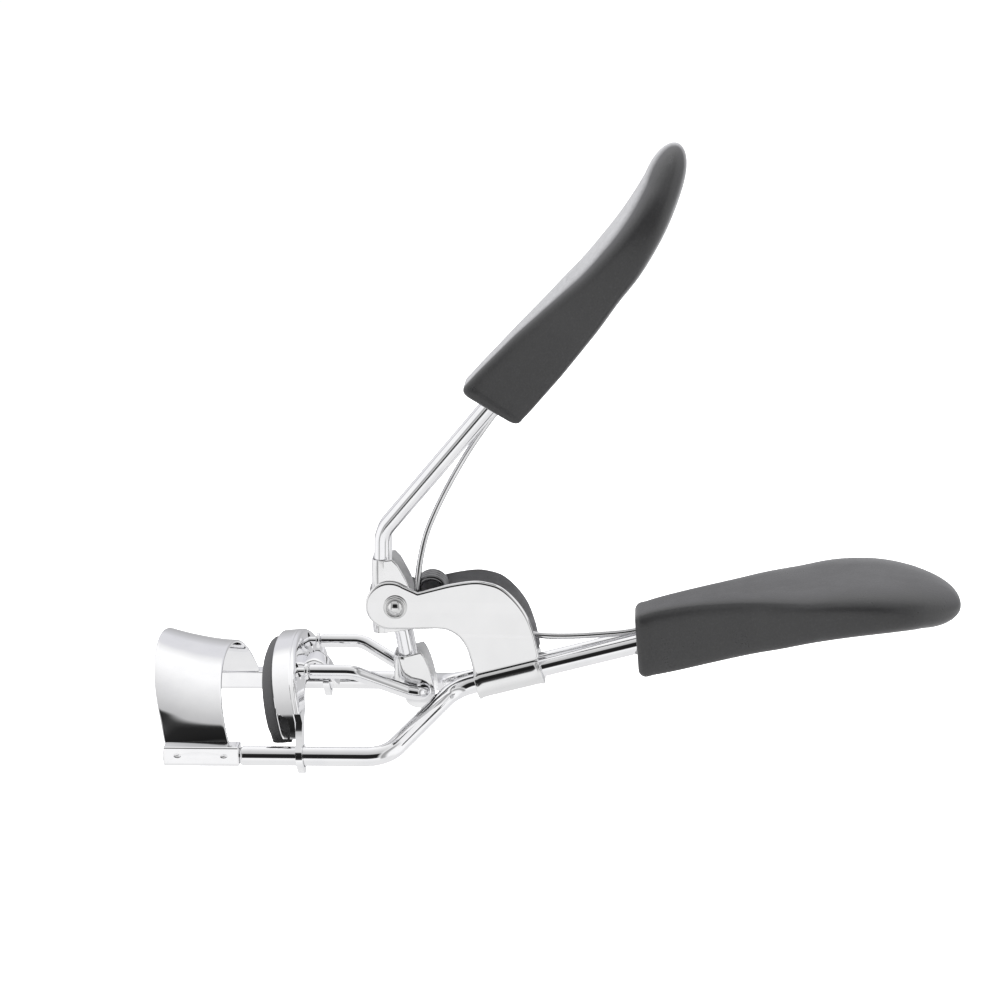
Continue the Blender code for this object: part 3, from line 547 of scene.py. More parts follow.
def plate(outline, holes, y_in, y_out, r_out=0.26, r_in=0.08, steps=6, outset=0.0):
    """Flat stamping between y_in and y_out in the X-Z plane, its outer edge rounded; flat faces keep a support ring."""
    sign = 1.0 if y_out > y_in else -1.0
    layers = []
    for k in range(4):
        a = math.pi / 2 * k / 3
        layers.append((r_in * (1 - math.sin(a)), y_in + sign * r_in * (1 - math.cos(a))))
    for k in range(steps + 1):
        a = math.pi / 2 * k / steps
        layers.append((r_out * (1 - math.cos(a)), y_out - sign * r_out * (1 - math.sin(a))))
    rings = [[(p[0], y, p[1]) for p in inset(outline, d)] for d, y in layers]
    m = len(outline)
    verts = [p for ring in rings for p in ring]
    faces = []
    for i in range(len(rings) - 1):
        for k in range(m):
            j = (k + 1) % m
            faces.append((i * m + k, i * m + j, (i + 1) * m + j, (i + 1) * m + k))
    for ring_i, y, d in ((0, y_in, r_in + 0.05), (len(rings) - 1, y_out, r_out + 0.05)):
        base = len(verts)
        verts += [(p[0], y, p[1]) for p in inset(outline, d)]
        for k in range(m):
            j = (k + 1) % m
            faces.append((ring_i * m + k, ring_i * m + j, base + j, base + k))
        loops = [inset(outline, d)] + holes
        at = [base]
        for h in holes:
            at.append(len(verts))
            verts += [(p[0], y, p[1]) for p in h]
        index = [at[i] + k for i, loop in enumerate(loops) for k in range(len(loop))]
        for t in tessellate_polygon([[Vector((p[0], p[1], 0)) for p in loop] for loop in loops]):
            faces.append(tuple(index[i] for i in t))
        if ring_i == 0:
            first_holes = at[1:]
        else:
            for h, a0, a1 in zip(holes, first_holes, at[1:]):
                n = len(h)
                for k in range(n):
                    j = (k + 1) % n
                    faces.append((a0 + k, a0 + j, a1 + j, a1 + k))
    return verts, faces


def lathe(profile, centre, n=64):
    """Turned piece about an axis along Y; profile is (radius, y)."""
    verts, faces, index = [], [], []
    for r, y in profile:
        if r == 0.0:
            index.append([len(verts)])
            verts.append((centre[0], y, centre[1]))
        else:
            index.append(list(range(len(verts), len(verts) + n)))
            verts += [(centre[0] + r * math.cos(2 * math.pi * k / n), y, centre[1] + r * math.sin(2 * math.pi * k / n)) for k in range(n)]
    for a, b in zip(index, index[1:]):
        for k in range(n):
            j = (k + 1) % n
            if len(a) == 1:
                faces.append((a[0], b[j], b[k]))
            elif len(b) == 1:
                faces.append((a[k], a[j], b[0]))
            else:
                faces.append((a[k], a[j], b[j], b[k]))
    return verts, faces


def finish_piece(obj, body, slot, *nodes):
    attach(obj, body)
    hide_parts(*nodes)
    return obj


# ---------------------------------------------------------------- frame rods
END_LOW = 47.0
for name, side in (("frame_rod_near", -1), ("frame_rod_far", 1)):
    pts = [
        (CAGE_END_X, side * CAGE_HALF, 0),
        (-18.16, side * CAGE_HALF, 0),
        (-18.02, side * CAGE_HALF, 0),
        (-17.86, side * CAGE_HALF, 0),
        (-17.72, side * CAGE_HALF, 0),
        (-17.40, side * CAGE_HALF, 0),
        (BEND1_X, side * CAGE_HALF, 0),
        (BEND2[0], side * ROD_PAIR_Y, BEND2[1]),
        (END_LOW, side * ROD_PAIR_Y, BEND2[1] + (END_LOW - BEND2[0]) * math.tan(HANDLE_SLOPE)),
    ]
    path = fillet(pts, [0, 0, 0, 0, 0, 4.2, 4.2], 2.0)
    radii = [ROD_NECK_R if p.x < -18.1 else (ROD_R - 0.12 if p.x < -17.95 else ROD_R) for p in path]
    rod = build(name + "_bar", [tube(path, radii, 56)], CHROME)
    finish_piece(rod, "frame", "cage_chrome", name)

# ---------------------------------------------------------------- fixed jaw
N_ARCH = 120
N_ST = 26
right = arch(FIX_HALF, FIX_R_SAG, 2.0, N_ARCH)
left = arch(FIX_HALF, FIX_L_SAG, 2.0, N_ARCH)
foot = 0.28
right = [(right[0][0], -foot)] + right + [(right[-1][0], -foot)]
left = [(left[0][0], -foot)] + left + [(left[-1][0], -foot)]
nr, nl = normals_in(right), normals_in(left)


def foot_lean(z):
    """The strip leans in a little just above its feet."""
    return math.sin(math.pi / 2 * min(1.0, max(0.0, z) / 3.2))


loops = []
for k in range(len(right)):
    nrm = ((nr[k] + nl[k]) / 2).normalized()

    def sheet_at(s, depth):
        flare = (1 - s) ** 1.7
        x = FIX_L_X + 0.20 + (FIX_R_X - FIX_L_X - 0.40) * s
        y = right[k][0] + (left[k][0] - right[k][0]) * flare
        z = right[k][1] + (left[k][1] - right[k][1]) * flare
        y *= 1 - foot_lean(z) * (0.24 + 0.70 * flare) / FIX_HALF
        return x, y + nrm.x * depth, z + nrm.y * depth
    loop = []
    for i in range(N_ST + 1):
        loop.append(jaw_point(*sheet_at(i / N_ST, 0.0)))
    for i in range(1, 7):                      # rounded rim at the pad side
        a = math.pi * i / 7
        x, y, z = sheet_at(1.0, FIX_T / 2 * (1 - math.cos(a)))
        loop.append(jaw_point(x + 0.20 * math.sin(a), y, z))
    for i in range(N_ST + 1):
        loop.append(jaw_point(*sheet_at(1 - i / N_ST, FIX_T)))
    for i in range(1, 7):
        a = math.pi * i / 7
        x, y, z = sheet_at(0.0, FIX_T / 2 * (1 + math.cos(a)))
        loop.append(jaw_point(x - 0.20 * math.sin(a), y, z))
    loops.append(loop)
fixed_sets = [loft(loops)]
# rolled sleeves, flattened on their outer side, with a lens-shaped crimp that grips the rod
for side in (-1, 1):
    half_s, top_s, low_s, c_t, c_l = 1.28, 1.44, 1.07, 0.20, 0.48
    prof = []
    for cx, cz, corner, a0 in ((half_s - c_t, top_s - c_t, c_t, 0), (-(half_s - c_t), top_s - c_t, c_t, 90), (-(half_s - c_l), -(low_s - c_l), c_l, 180), (half_s - c_l, -(low_s - c_l), c_l, 270)):
        prof += arc_pts(cx, cz, corner, a0, a0 + 90, 10)
    dense = []
    for i, p in enumerate(prof):
        q = prof[(i + 1) % len(prof)]
        gap = math.hypot(q[0] - p[0], q[1] - p[1])
        n = max(1, int(gap / 0.06))
        for t in range(n):
            dense.append((p[0] + (q[0] - p[0]) * t / n, p[1] + (q[1] - p[1]) * t / n))
    stations = []
    n_x = 170
    for i in range(n_x + 1):
        stations.append(SLEEVE_X0 + (SLEEVE_X1 - SLEEVE_X0) * i / n_x)
    outer_loops = []
    for x in stations:
        end = min(x - SLEEVE_X0, SLEEVE_X1 - x)
        shrink = 0.0 if end > 0.14 else 0.10 * (1 - math.sqrt(max(0.0, 1 - ((0.14 - end) / 0.14) ** 2)))
        loop = []
        for u, v in dense:
            r = math.hypot(u, v)
            uu, vv = u * (1 - shrink / r), v * (1 - shrink / r)
            dx = (x + 22.85) / 2.95
            v -= 0.36
            if u > 1.0 and abs(dx) < 1.14:
                # lens crimp: two shallow curves that meet in a point at each end
                half_h = 0.52 * max(0.0, 1 - dx * dx)
                inside = 1.0 if half_h > 0.02 and abs(v) < half_h else 0.0
                fall = max(0.0, 1 - (abs(v) / half_h) ** 2) if inside else 0.0
                uu -= 0.016 * fall * max(0.0, 1 - dx * dx) ** 0.35
                for ex in (-1.0, 1.0):
                    dd = math.hypot((dx - ex * 0.97) * 2.95 / 0.46, (v - ex * 0.06 * (dx - ex * 0.97) * 2.95) / 0.25)
                    if dd < 1:
                        uu -= 0.17 * (1 - dd * dd) ** 1.6
            v += 0.36
            loop.append((x, side * (CAGE_HALF + uu), vv))
        outer_loops.append(loop)
    m = len(dense)
    inner_loops = []
    for x in (SLEEVE_X1, SLEEVE_X0):
        inner = []
        for u, v in dense:
            r = math.hypot(u, v)
            inner.append((x, side * (CAGE_HALF + u / r * 0.97), v / r * 0.97))
        inner_loops.append(inner)
    v_, f_ = loft(outer_loops + inner_loops, caps=False)
    last = len(outer_loops) + 1
    f_ = list(f_)
    for k in range(m):
        j = (k + 1) % m
        f_.append((last * m + k, last * m + j, j, k))
    fixed_sets.append((v_, f_))
fixed = build("fixed_jaw_pressing", fixed_sets, CHROME_JAW, smooth=42)
finish_piece(fixed, "frame", "jaw_chrome", "fixed_jaw")

# ---------------------------------------------------------------- sliding jaw
N_S = 120
front_o = arch(SHELL_HALF, SHELL_FRONT_SAG, 2.12, N_S)
back_o = arch(SHELL_HALF, SHELL_BACK_SAG, 2.05, N_S)
inner_a = arch(PAD_HALF - PAD_DEPTH - 0.95, PAD_FRONT_SAG - PAD_DEPTH - 0.95, 2.3, N_S)
nf, nb = normals_in(front_o), normals_in(back_o)
width = SHELL_BACK_X - SHELL_FRONT_X
loops = []
R_BEND = 0.50
RIM_X = SHELL_BACK_X - R_BEND - 0.14
for k in range(2, N_S - 1):
    fo, bo, ia = Vector(front_o[k]), Vector(back_o[k]), Vector(inner_a[k])
    nrm = ((nf[k] + nb[k]) / 2).normalized()
    leg = ia - bo
    leg_len = leg.length
    ld = leg / leg_len

    def at(x, off):
        """Point at x with a 2-D position in the jaw plane; the back leans upright low down."""
        f = min(1.0, max(0.0, (x - SHELL_FRONT_X) / width))
        a, b = jaw_point(x, off.x, off.y), plate_point(x, off.x, off.y)
        g = f ** 2
        return (a[0] * (1 - g) + b[0] * g, a[1], a[2])
    loop = []
    n_o = 12
    for i in range(27):                            # outer surface, front to back, with a shallow groove ahead of the rim
        t = (i / 8) * 0.70 if i <= 8 else 0.70 + 0.30 * (i - 8) / 18
        x = SHELL_FRONT_X + (width - R_BEND) * t
        base = fo + (bo - fo) * ((x - SHELL_FRONT_X) / width)
        dip = max(0.0, 1 - ((x - RIM_X) / 0.17) ** 2)
        loop.append(at(x, base + nrm * (0.075 * dip * dip)))
    for i in range(1, 9):                          # rounded bend into the back plate
        a = math.pi / 2 * i / 8
        x = SHELL_BACK_X - R_BEND + R_BEND * math.sin(a)
        base = fo + (bo - fo) * ((SHELL_BACK_X - R_BEND - SHELL_FRONT_X) / width)
        p = base * (1 - i / 8) + bo * (i / 8)
        loop.append(at(x, p + ld * R_BEND * (1 - math.cos(a))))
    for i in range(1, 9):                          # back face down to the inner edge
        loop.append(at(SHELL_BACK_X, bo + ld * (R_BEND + (leg_len - R_BEND - 0.12) * i / 8)))
    for i in range(1, 6):                          # rounded inner edge of the plate
        a = math.pi * i / 5
        loop.append(at(SHELL_BACK_X - PLATE_T / 2 * (1 - math.cos(a)), bo + ld * (leg_len - 0.12 + 0.12 * math.sin(a))))
    for i in range(1, 8):                          # front face of the plate, back up
        d = leg_len - 0.12 - (leg_len - 0.12 - SHELL_T - 0.25) * i / 7
        loop.append(at(SHELL_BACK_X - PLATE_T, bo + ld * d))
    for i in range(1, 5):
        a = math.pi / 2 * i / 4
        x = SHELL_BACK_X - PLATE_T - 0.25 * (1 - math.cos(a))
        loop.append(at(x, bo + ld * (SHELL_T + 0.25 * (1 - math.sin(a)))))
    for i in range(1, n_o + 1):                    # inner surface, back to front
        t = 1 - i / n_o
        x = SHELL_FRONT_X + (width - PLATE_T - 0.25) * t
        base = fo + (bo - fo) * ((x - SHELL_FRONT_X) / width)
        loop.append(at(x, base + nrm * SHELL_T))
    for i in range(1, 6):                          # rounded front rim
        a = math.pi * i / 6
        loop.append(at(SHELL_FRONT_X - 0.17 * math.sin(a), fo + nrm * (SHELL_T / 2 * (1 + math.cos(a)))))
    loops.append(loop)
shell = build("sliding_jaw_shell", [loft(loops)], CHROME_JAW, smooth=48)
# the shell is cut away low down on both sides, leaving a thin strip that runs into the ear
cut_front = [(-14.6, 5.45), (-13.90, 5.45), (-13.76, 4.6), (-13.66, 3.75), (-13.42, 2.95), (-12.98, 2.05), (-12.40, 1.15), (-12.05, 0.60), (-11.90, -0.5), (-14.6, -0.5)]
cut_hole = catmull([(-13.50, 4.92), (-13.16, 4.66), (-12.72, 4.48), (-12.36, 4.14), (-12.16, 3.60), (-12.06, 2.75), (-12.08, 2.05), (-12.24, 1.82), (-12.56, 2.22), (-13.00, 2.98), (-13.32, 3.76), (-13.46, 4.40), (-13.50, 4.92)], 4)[:-1]
for side in (-1, 1):
    for shape in (cut_front, cut_hole):
        v, f = prism([shape], lambda p: (p[0], side * 16.5, p[1]), lambda p: (p[0], side * (12.95 if shape is cut_front else 13.4), p[1]))
        boolean(shell, build("cutter", [(v, f)], CHROME_JAW), "DIFFERENCE")
slot_shape = arc_pts(0, 0.28, 0.78, 0, 180, 20) + arc_pts(0, -0.28, 0.78, 180, 360, 20)
for side in (-1, 1):
    v, f = prism([slot_shape], lambda p: (-9.0, side * PUSH_Y + p[0], PUSH_Z + p[1]), lambda p: (-13.0, side * PUSH_Y + p[0], PUSH_Z + p[1]))
    boolean(shell, build("cutter", [(v, f)], CHROME_JAW), "DIFFERENCE")
shell.data.shade_smooth()
shell.data.set_sharp_from_angle(angle=math.radians(40))
# ears: flat lugs with round holes that run on the cage rods
ear_z = jaw_z(0.0)
cz = 1 / math.cos(JAW_TILT)
ears = []
for side in (-1, 1):
    e_c = side * CAGE_HALF
    r_e = EAR_R - 0.03
    ring = [(e_c + side * r_e * math.cos(math.radians(a)), ear_z + r_e * cz * math.sin(math.radians(a))) for a in range(35, -221, -5)]
    loop = [p for p in ring if not (p[1] > 0.55)] + [(side * (CAGE_HALF - 2.35), 0.35), (side * (CAGE_HALF - 3.1), 1.2), (side * (CAGE_HALF - 3.4), 2.3), (side * (CAGE_HALF - 3.2), 3.4),
                                                     (side * (SHELL_HALF - 0.75), 3.6), (side * (SHELL_HALF - 0.38), 2.6), (side * (SHELL_HALF - 0.02), 1.6), (side * (SHELL_HALF + 0.55), 0.95)]
    hole = [(e_c + p[0], ear_z + p[1] * cz) for p in circle(0, 0, EAR_HOLE_R, 48)]
    v, f = prism([loop, hole], lambda p: (SHELL_BACK_X - PLATE_T - 0.14, *p), lambda p: (SHELL_BACK_X + 0.16, *p))
    flat = bmesh.new()
    corners = [flat.verts.new(p) for p in v]
    for face in f:
        flat.faces.new([corners[i] for i in face])
    bmesh.ops.bisect_plane(flat, geom=flat.verts[:] + flat.edges[:] + flat.faces[:], plane_co=(0, 0, EAR_BEND_Z), plane_no=(0, 0, 1), dist=1e-5)
    flat.verts.index_update()
    v = [plate_point(*vert.co) for vert in flat.verts]
    v = [(p[0] + 0.14 * max(0.0, 3.2 - p[2]), p[1], p[2]) for p in v]
    f = [tuple(vert.index for vert in face.verts) for face in flat.faces]
    flat.free()
    ears.append(build("ear", [(v, f)], CHROME_JAW, bevel=0.27, bevel_segments=6))
# inner lip under the pad
lip_o = arch(PAD_HALF - PAD_DEPTH - 0.45, PAD_FRONT_SAG - PAD_DEPTH - 0.45, 2.3, N_S)
nlip = normals_in(lip_o)
loops = []
for k in range(14, N_S - 13):
    p = Vector(lip_o[k])
    loop = []
    for i in range(9):
        loop.append(jaw_point(SHELL_FRONT_X + 0.4 + (SHELL_BACK_X - 0.3 - SHELL_FRONT_X - 0.4) * i / 8, *p))
    for i in range(9):
        loop.append(jaw_point(SHELL_FRONT_X + 0.4 + (SHELL_BACK_X - 0.3 - SHELL_FRONT_X - 0.4) * (1 - i / 8), *(p + nlip[k] * SHELL_T)))
    for i in range(1, 5):
        a = math.pi * i / 5
        loop.append(jaw_point(SHELL_FRONT_X + 0.4 - 0.16 * math.sin(a), *(p + nlip[k] * (SHELL_T / 2 * (1 + math.cos(a))))))
    loops.append(loop)
lip = build("lip", [loft(loops)], CHROME_JAW, smooth=45)
# curled tab
tab_pts = catmull([(-12.10, 6.55), (-11.75, 7.25), (-11.15, 7.78), (-10.25, 7.95), (-9.15, 7.25), (-8.35, 5.9), (-7.7, 4.35)], 10)
loops = []
n_t = len(tab_pts)
for i, p in enumerate(tab_pts):
    a = tab_pts[max(i - 1, 0)]
    b = tab_pts[min(i + 1, n_t - 1)]
    d = Vector((b[0] - a[0], b[1] - a[1])).normalized()
    nrm = Vector((-d.y, d.x))
    s = i / (n_t - 1)
    w = 2.3 - 0.5 * s ** 2
    if s > 0.86:
        w -= 0.9 * ((s - 0.86) / 0.14) ** 2.4
    loop = []
    for yy, h in ((-w + 0.18, 0.22), (-w / 2, 0.24), (0, 0.25), (w / 2, 0.24), (w - 0.18, 0.22), (w - 0.05, 0.15), (w, 0), (w - 0.05, -0.15), (w - 0.18, -0.22), (0, -0.21), (-w + 0.18, -0.22), (-w + 0.05, -0.15), (-w, 0), (-w + 0.05, 0.15)):
        loop.append((p[0] + nrm.x * h, yy, p[1] + nrm.y * h))
    loops.append(loop)
tab = build("tab", [loft(loops)], CHROME_JAW, smooth=50)
join(shell, *ears, lip, tab)
weighted = shell.modifiers.new("even_normals", "WEIGHTED_NORMAL")
weighted.mode = "FACE_AREA"
weighted.keep_sharp = True
finish_piece(shell, "jaw", "jaw_chrome", "moving_jaw")

# ---------------------------------------------------------------- lash pad
N_P = 110
loops = []
secs = []
for x, back in ((0.0, 0.55), (0.05, 0.34), (0.16, 0.16), (0.32, 0.05), (0.55, 0.0), (0.9, 0.0), (1.3, 0.0)):
    secs.append((PAD_FRONT_X + x, back, 2.4))
secs.append((PAD_FRONT_X + 1.62, 0.12, 2.33))
secs.append((PAD_FRONT_X + 1.9, 0.28, 2.25))
secs.append((PAD_BACK_X - 0.1, 0.28, 2.25))
secs.append((PAD_BACK_X, 0.42, 2.25))
for x, back, pw in secs:
    o = arch(PAD_HALF - back, PAD_FRONT_SAG + (0.0 if x < PAD_FRONT_X + 1.5 else 0.2) - back, pw - 0.2, N_P)
    depth = PAD_DEPTH - 2 * back
    i_ = arch(PAD_HALF - back - depth, PAD_FRONT_SAG - back - depth, 2.2, N_P)
    o = [(o[0][0], -0.35)] + o + [(o[-1][0], -0.35)]
    i_ = [(i_[0][0], -0.35)] + i_ + [(i_[-1][0], -0.35)]
    put = plate_point if x > PAD_BACK_X - 0.2 else jaw_point
    # the feet tuck in beside the rolled sleeves, so that the pad can run past them
    o, i_ = ([(q[0] * (1 - 0.62 / PAD_HALF * (0.5 + 0.5 * math.cos(math.pi * min(1.0, max(0.0, q[1] - 0.45) / 1.5)))), q[1]) for q in side_pts] for side_pts in (o, i_))
    loops.append([put(x, *p) for p in o] + [put(x, *p) for p in reversed(i_)])
v, f = loft(loops, caps=False)
m = len(loops[0])
h = m // 2
for base in (0, (len(loops) - 1) * m):
    for k in range(h - 1):
        f.append((base + k, base + k + 1, base + m - 2 - k, base + m - 1 - k))
pad = build("lash_pad_strip", [(v, f)], RUBBER, smooth=50)
finish_piece(pad, "jaw", "pad_rubber", "lash_pad")

# ---------------------------------------------------------------- pivot bracket
BOSS = (-0.68, 15.50, 3.10)
ax = Vector((math.cos(HANDLE_SLOPE), math.sin(HANDLE_SLOPE)))
up = Vector((-ax.y, ax.x))
A0 = Vector((BEND2[0], BEND2[1]))
S0 = A0 + ax * 2.85
S1 = A0 + ax * 11.30
lift_s = 0.15
edge0 = tuple(S0 + ax * 0.15 + up * (lift_s - 0.3))
edge1 = tuple(S1 - ax * 0.15 + up * (lift_s - 0.3))
CREASE = 1.50
edge0 = S0 + ax * 0.10 + up * CREASE
edge1 = S1 - ax * 0.12 + up * CREASE
outline = arc_pts(BOSS[0], BOSS[1], BOSS[2], 56, 275, 60)
outline += catmull([(2.0, 12.42), (5.3, 12.50), (6.75, 12.2), (7.95, 11.35), (8.75, 10.1), (9.25, 8.55), (9.52, 7.4), tuple(edge0)], 8)
outline += [tuple(edge1)]
outline += catmull([(17.80, 9.0), (17.74, 9.6), (17.55, 10.5), (17.18, 12.09), (16.32, 14.44), (14.94, 16.43), (13.22, 17.96), (11.47, 18.58), (9.73, 18.75), (7.12, 18.37), (4.90, 17.82), (2.80, 17.26)], 8)
outline += [(1.95, 17.66)]
hole = circle(PIVOT[0], PIVOT[1], 0.70, 48)
bracket_sets = []
for side in (-1, 1):
    bracket_sets.append(plate(outline, [hole], side * CHEEK_Y0, side * CHEEK_Y1, r_out=0.38, r_in=0.04, steps=9))
# channel rolled round the two rods: it bulges past the cheeks below a crease and flares at both ends
half_sec = [(2.78, 1.60), (2.84, 1.50), (2.93, 1.41), (3.03, 1.31), (3.11, 1.21), (3.18, 1.10), (3.24, 0.97), (3.285, 0.82), (3.32, 0.65), (3.345, 0.45), (3.36, 0.25), (3.365, 0.05), (3.36, -0.20),
            (3.34, -0.45), (3.29, -0.70), (3.20, -0.96), (3.06, -1.20), (2.87, -1.41), (2.62, -1.58), (2.32, -1.70), (1.98, -1.77), (1.60, -1.80), (1.10, -1.80), (0.55, -1.79)]
half_sec = [tuple(p) for p in catmull(half_sec, 3)]
section = [(-y, h) for y, h in half_sec] + [(0.0, -1.79)] + [(y, h) for y, h in reversed(half_sec)]
sec_n = []
for i, p in enumerate(section):
    q0, q1 = section[max(i - 1, 0)], section[min(i + 1, len(section) - 1)]
    d = Vector((q1[0] - q0[0], q1[1] - q0[1])).normalized()
    sec_n.append(Vector((d.y, -d.x)))
length = (S1 - S0).length
marks = [0.0, 0.02, 0.05, 0.09, 0.14, 0.2, 0.3, 0.42, 0.56, 0.72, 0.9, 1.1]
marks = marks + [1.1 + (length - 2.2) * k / 36 for k in range(1, 36)] + [length - m for m in reversed(marks)]
loops = []
for along in marks:
    end = min(along, length - along)
    S = S0 + ax * along
    flare = 0.17 * math.exp(-(end / 0.45) ** 2)
    lip_in = 0.19 * (1 - math.sqrt(max(0.0, 1 - (1 - min(1.0, end / 0.16)) ** 2)))
    outer, inner = [], []
    for (yy, hh), nn in zip(section, sec_n):
        grow = flare * (1.0 if hh < 1.0 else max(0.0, (1.6 - hh) / 0.6))
        po = Vector((yy, hh)) + nn * (grow - lip_in)
        pi_ = Vector((yy, hh)) + nn * (grow - 0.40 + lip_in)
        for p2, dest in ((po, outer), (pi_, inner)):
            c = S + up * p2.y
            dest.append((c.x, p2.x, c.y))
    loops.append(outer + inner[::-1])
bracket_sets.append(loft(loops))
bracket = build("pivot_bracket_folding", bracket_sets, NICKEL, smooth=40)
bracket.data.materials.append(NICKEL_SHADED_INNER)
# the cheeks' inner faces take the darker copy: painted shade in the gap between the cheeks
for poly in bracket.data.polygons:
    c = poly.center
    if abs(c.y) < (CHEEK_Y0 + 0.03) * 0.001 and abs(poly.normal.y) > 0.9 and poly.normal.y * c.y < 0:
        poly.material_index = 1
finish_piece(bracket, "frame", "bracket_nickel", "pivot_bracket")

# ---------------------------------------------------------------- lever rods
up50 = math.radians(49.9)
U1 = Vector((-1.58, 24.50))
corner_a = math.radians(223)
t_dir = Vector((-math.sin(corner_a), math.cos(corner_a)))
t_pt = Vector((BOW_R * math.cos(corner_a), PIVOT[1] + BOW_R * math.sin(corner_a)))
x_left = -BOW_R
corner = t_pt + t_dir * ((x_left - t_pt.x) / t_dir.x)
low1 = t_pt + t_dir * ((0.66 - t_pt.x) / t_dir.x)
low2 = Vector((1.70, 6.40))
U0 = U1 + Vector((math.cos(up50), math.sin(up50))) * 34.5
for name, side in (("lever_rod_near", -1), ("lever_rod_far", 1)):
    y = side * LEVER_Y
    pts = [(U0.x, y, U0.y), (U1.x, y, U1.y), (x_left, y, 17.6), (x_left, y, corner.y), (low1.x, y, low1.y), (low2.x, y, low2.y)]
    path = fillet(pts, [3.2, 6.0, BOW_R, 1.6], 2.5)
    rod = build(name + "_bar", [tube(path, LEVER_R, 52)], CHROME)
    finish_piece(rod, "lever", "cage_chrome", name)


# ---------------------------------------------------------------- clips on the lever rods
def fold_clip(name, outline, left_of, holes, node):
    parts = []
    for side in (-1, 1):
        parts.append(plate(outline, holes, side * CLIP_Y0, side * CLIP_Y1, r_out=0.14, r_in=0.05, steps=5))
    top, bottom = Vector(outline[0]), Vector(outline[-1])
    n = 16
    loops = []
    n_h = 10
    for i in range(n_h + 1):
        end = top + (bottom - top) * (i / n_h)
        z = end.y
        near_end = min(i, n_h - i) == 0
        depth = end.x + 0.25 - left_of(z)
        inner, outer = [], []
        for yy, rr_x, dest in ((CLIP_Y0 + (0.06 if near_end else 0.0), depth - FOLD_T - (0.04 if near_end else 0.0), inner), (CLIP_Y1 - (0.06 if near_end else 0.0), depth - (0.05 if near_end else 0.0), outer)):
            rr_y = yy - LEVER_Y
            c = []
            for k in range(n + 1):
                a = math.pi / 2 * k / n
                c.append((rr_x * math.sin(a) ** (2 / 2.6), LEVER_Y + rr_y * math.cos(a) ** (2 / 2.6)))
            dest += [(end.x + 0.25 - dx, -dy, z) for dx, dy in c]
            dest += [(end.x + 0.25 - dx, dy, z) for dx, dy in reversed(c)]
        loops.append(inner + outer[::-1])
    parts.append(loft(loops))
    clip = build(name, parts, NICKEL_CLIP, smooth=42)
    clip.data.materials.append(NICKEL_CLIP_IN_LIT)
    # the clip's inner faces take the lighter copy: painted light on faces in shade
    for poly in clip.data.polygons:
        if abs(poly.center.y) < (CLIP_Y0 + 0.02) * 0.001 and poly.normal.y * poly.center.y < 0:
            poly.material_index = 1
    return finish_piece(clip, "lever", "clip_nickel", node)


fold_x = -1.55
pc_outline = [(fold_x, 21.15), (-0.35, 21.35)]
pc_outline += catmull([(0.35, 20.6), (1.0, 19.4), (1.62, 18.1), (2.05, 16.6), (2.2, 15.0), (2.15, 13.4), (2.05, 12.35)], 6)
pc_outline += [(fold_x, 11.75)]
fold_clip("pivot_clip_folding", pc_outline, lambda z: -3.02, [circle(PIVOT[0], PIVOT[1], 0.70, 40)], "pivot_clip")

yc_outline = [(0.85, 8.75), (3.05, 9.35)]
yc_outline += catmull([(3.4, 8.9), (3.95, 7.6), (4.40, 6.0), (4.74, 4.4), (4.78, 3.6), (4.4, 2.7), (3.6, 2.12), (2.4, 2.08), (1.35, 2.6), (0.92, 3.5), (0.80, 4.4)], 6)
yc_outline += [(0.80, 5.55)]
fold_clip("yoke_clip_folding", yc_outline, lambda z: -0.40 - 0.08 * (z - 5.55) / 3.2, [circle(YOKE[0], YOKE[1], PUSH_R + 0.10, 48)], "yoke_clip")

# ---------------------------------------------------------------- rivet
prof = [(0.0, -3.98), (0.22, -3.965), (0.45, -3.91), (0.66, -3.81), (0.82, -3.68), (0.93, -3.50), (0.965, -3.36), (0.99, -3.27), (1.03, -3.27), (1.06, -3.34), (1.10, -3.41), (1.17, -3.455), (1.26, -3.465), (1.35, -3.44), (1.43, -3.37), (1.475, -3.26), (1.48, -3.09), (RIVET_R, -3.08)]
prof += [(r, -y) for r, y in reversed(prof)]
rivet = build("pivot_rivet_head", [lathe(prof, PIVOT, 72)], STEEL, smooth=60)
finish_piece(rivet, "frame", "rivet_steel", "pivot_rivet")

# ---------------------------------------------------------------- push wire and its collars
SHOULDER = -10.44
half_pts = [(-11.60, PUSH_Y, PUSH_Z), (SHOULDER - 0.10, PUSH_Y, PUSH_Z), (SHOULDER, PUSH_Y, PUSH_Z), (SHOULDER + 0.08, PUSH_Y, PUSH_Z), (SHOULDER + 0.2, PUSH_Y, PUSH_Z), (-5.2, PUSH_Y, PUSH_Z), (1.4, 4.15, 4.75), (YOKE[0], 3.95, YOKE[1])]
near = [(x, -y, z) for x, y, z in half_pts]
far = list(reversed(half_pts))
pts = [(-12.60, -PUSH_Y, PUSH_Z)] + near + far + [(-12.60, PUSH_Y, PUSH_Z)]
path = fillet(pts, [0, 0, 0, 0, 0, 3.2, 1.4, 0.95, 0.95, 1.4, 3.2, 0, 0, 0, 0, 0], step=4.0)
radii = [NECK_R if p.x < SHOULDER - 0.06 else (PUSH_R - 0.12 if p.x < SHOULDER + 0.05 else PUSH_R) for p in path]
wire = build("push_wire_bar", [tube(path, radii, 44)], CHROME, smooth=50)
finish_piece(wire, "push_wire", "cage_chrome", "push_wire")
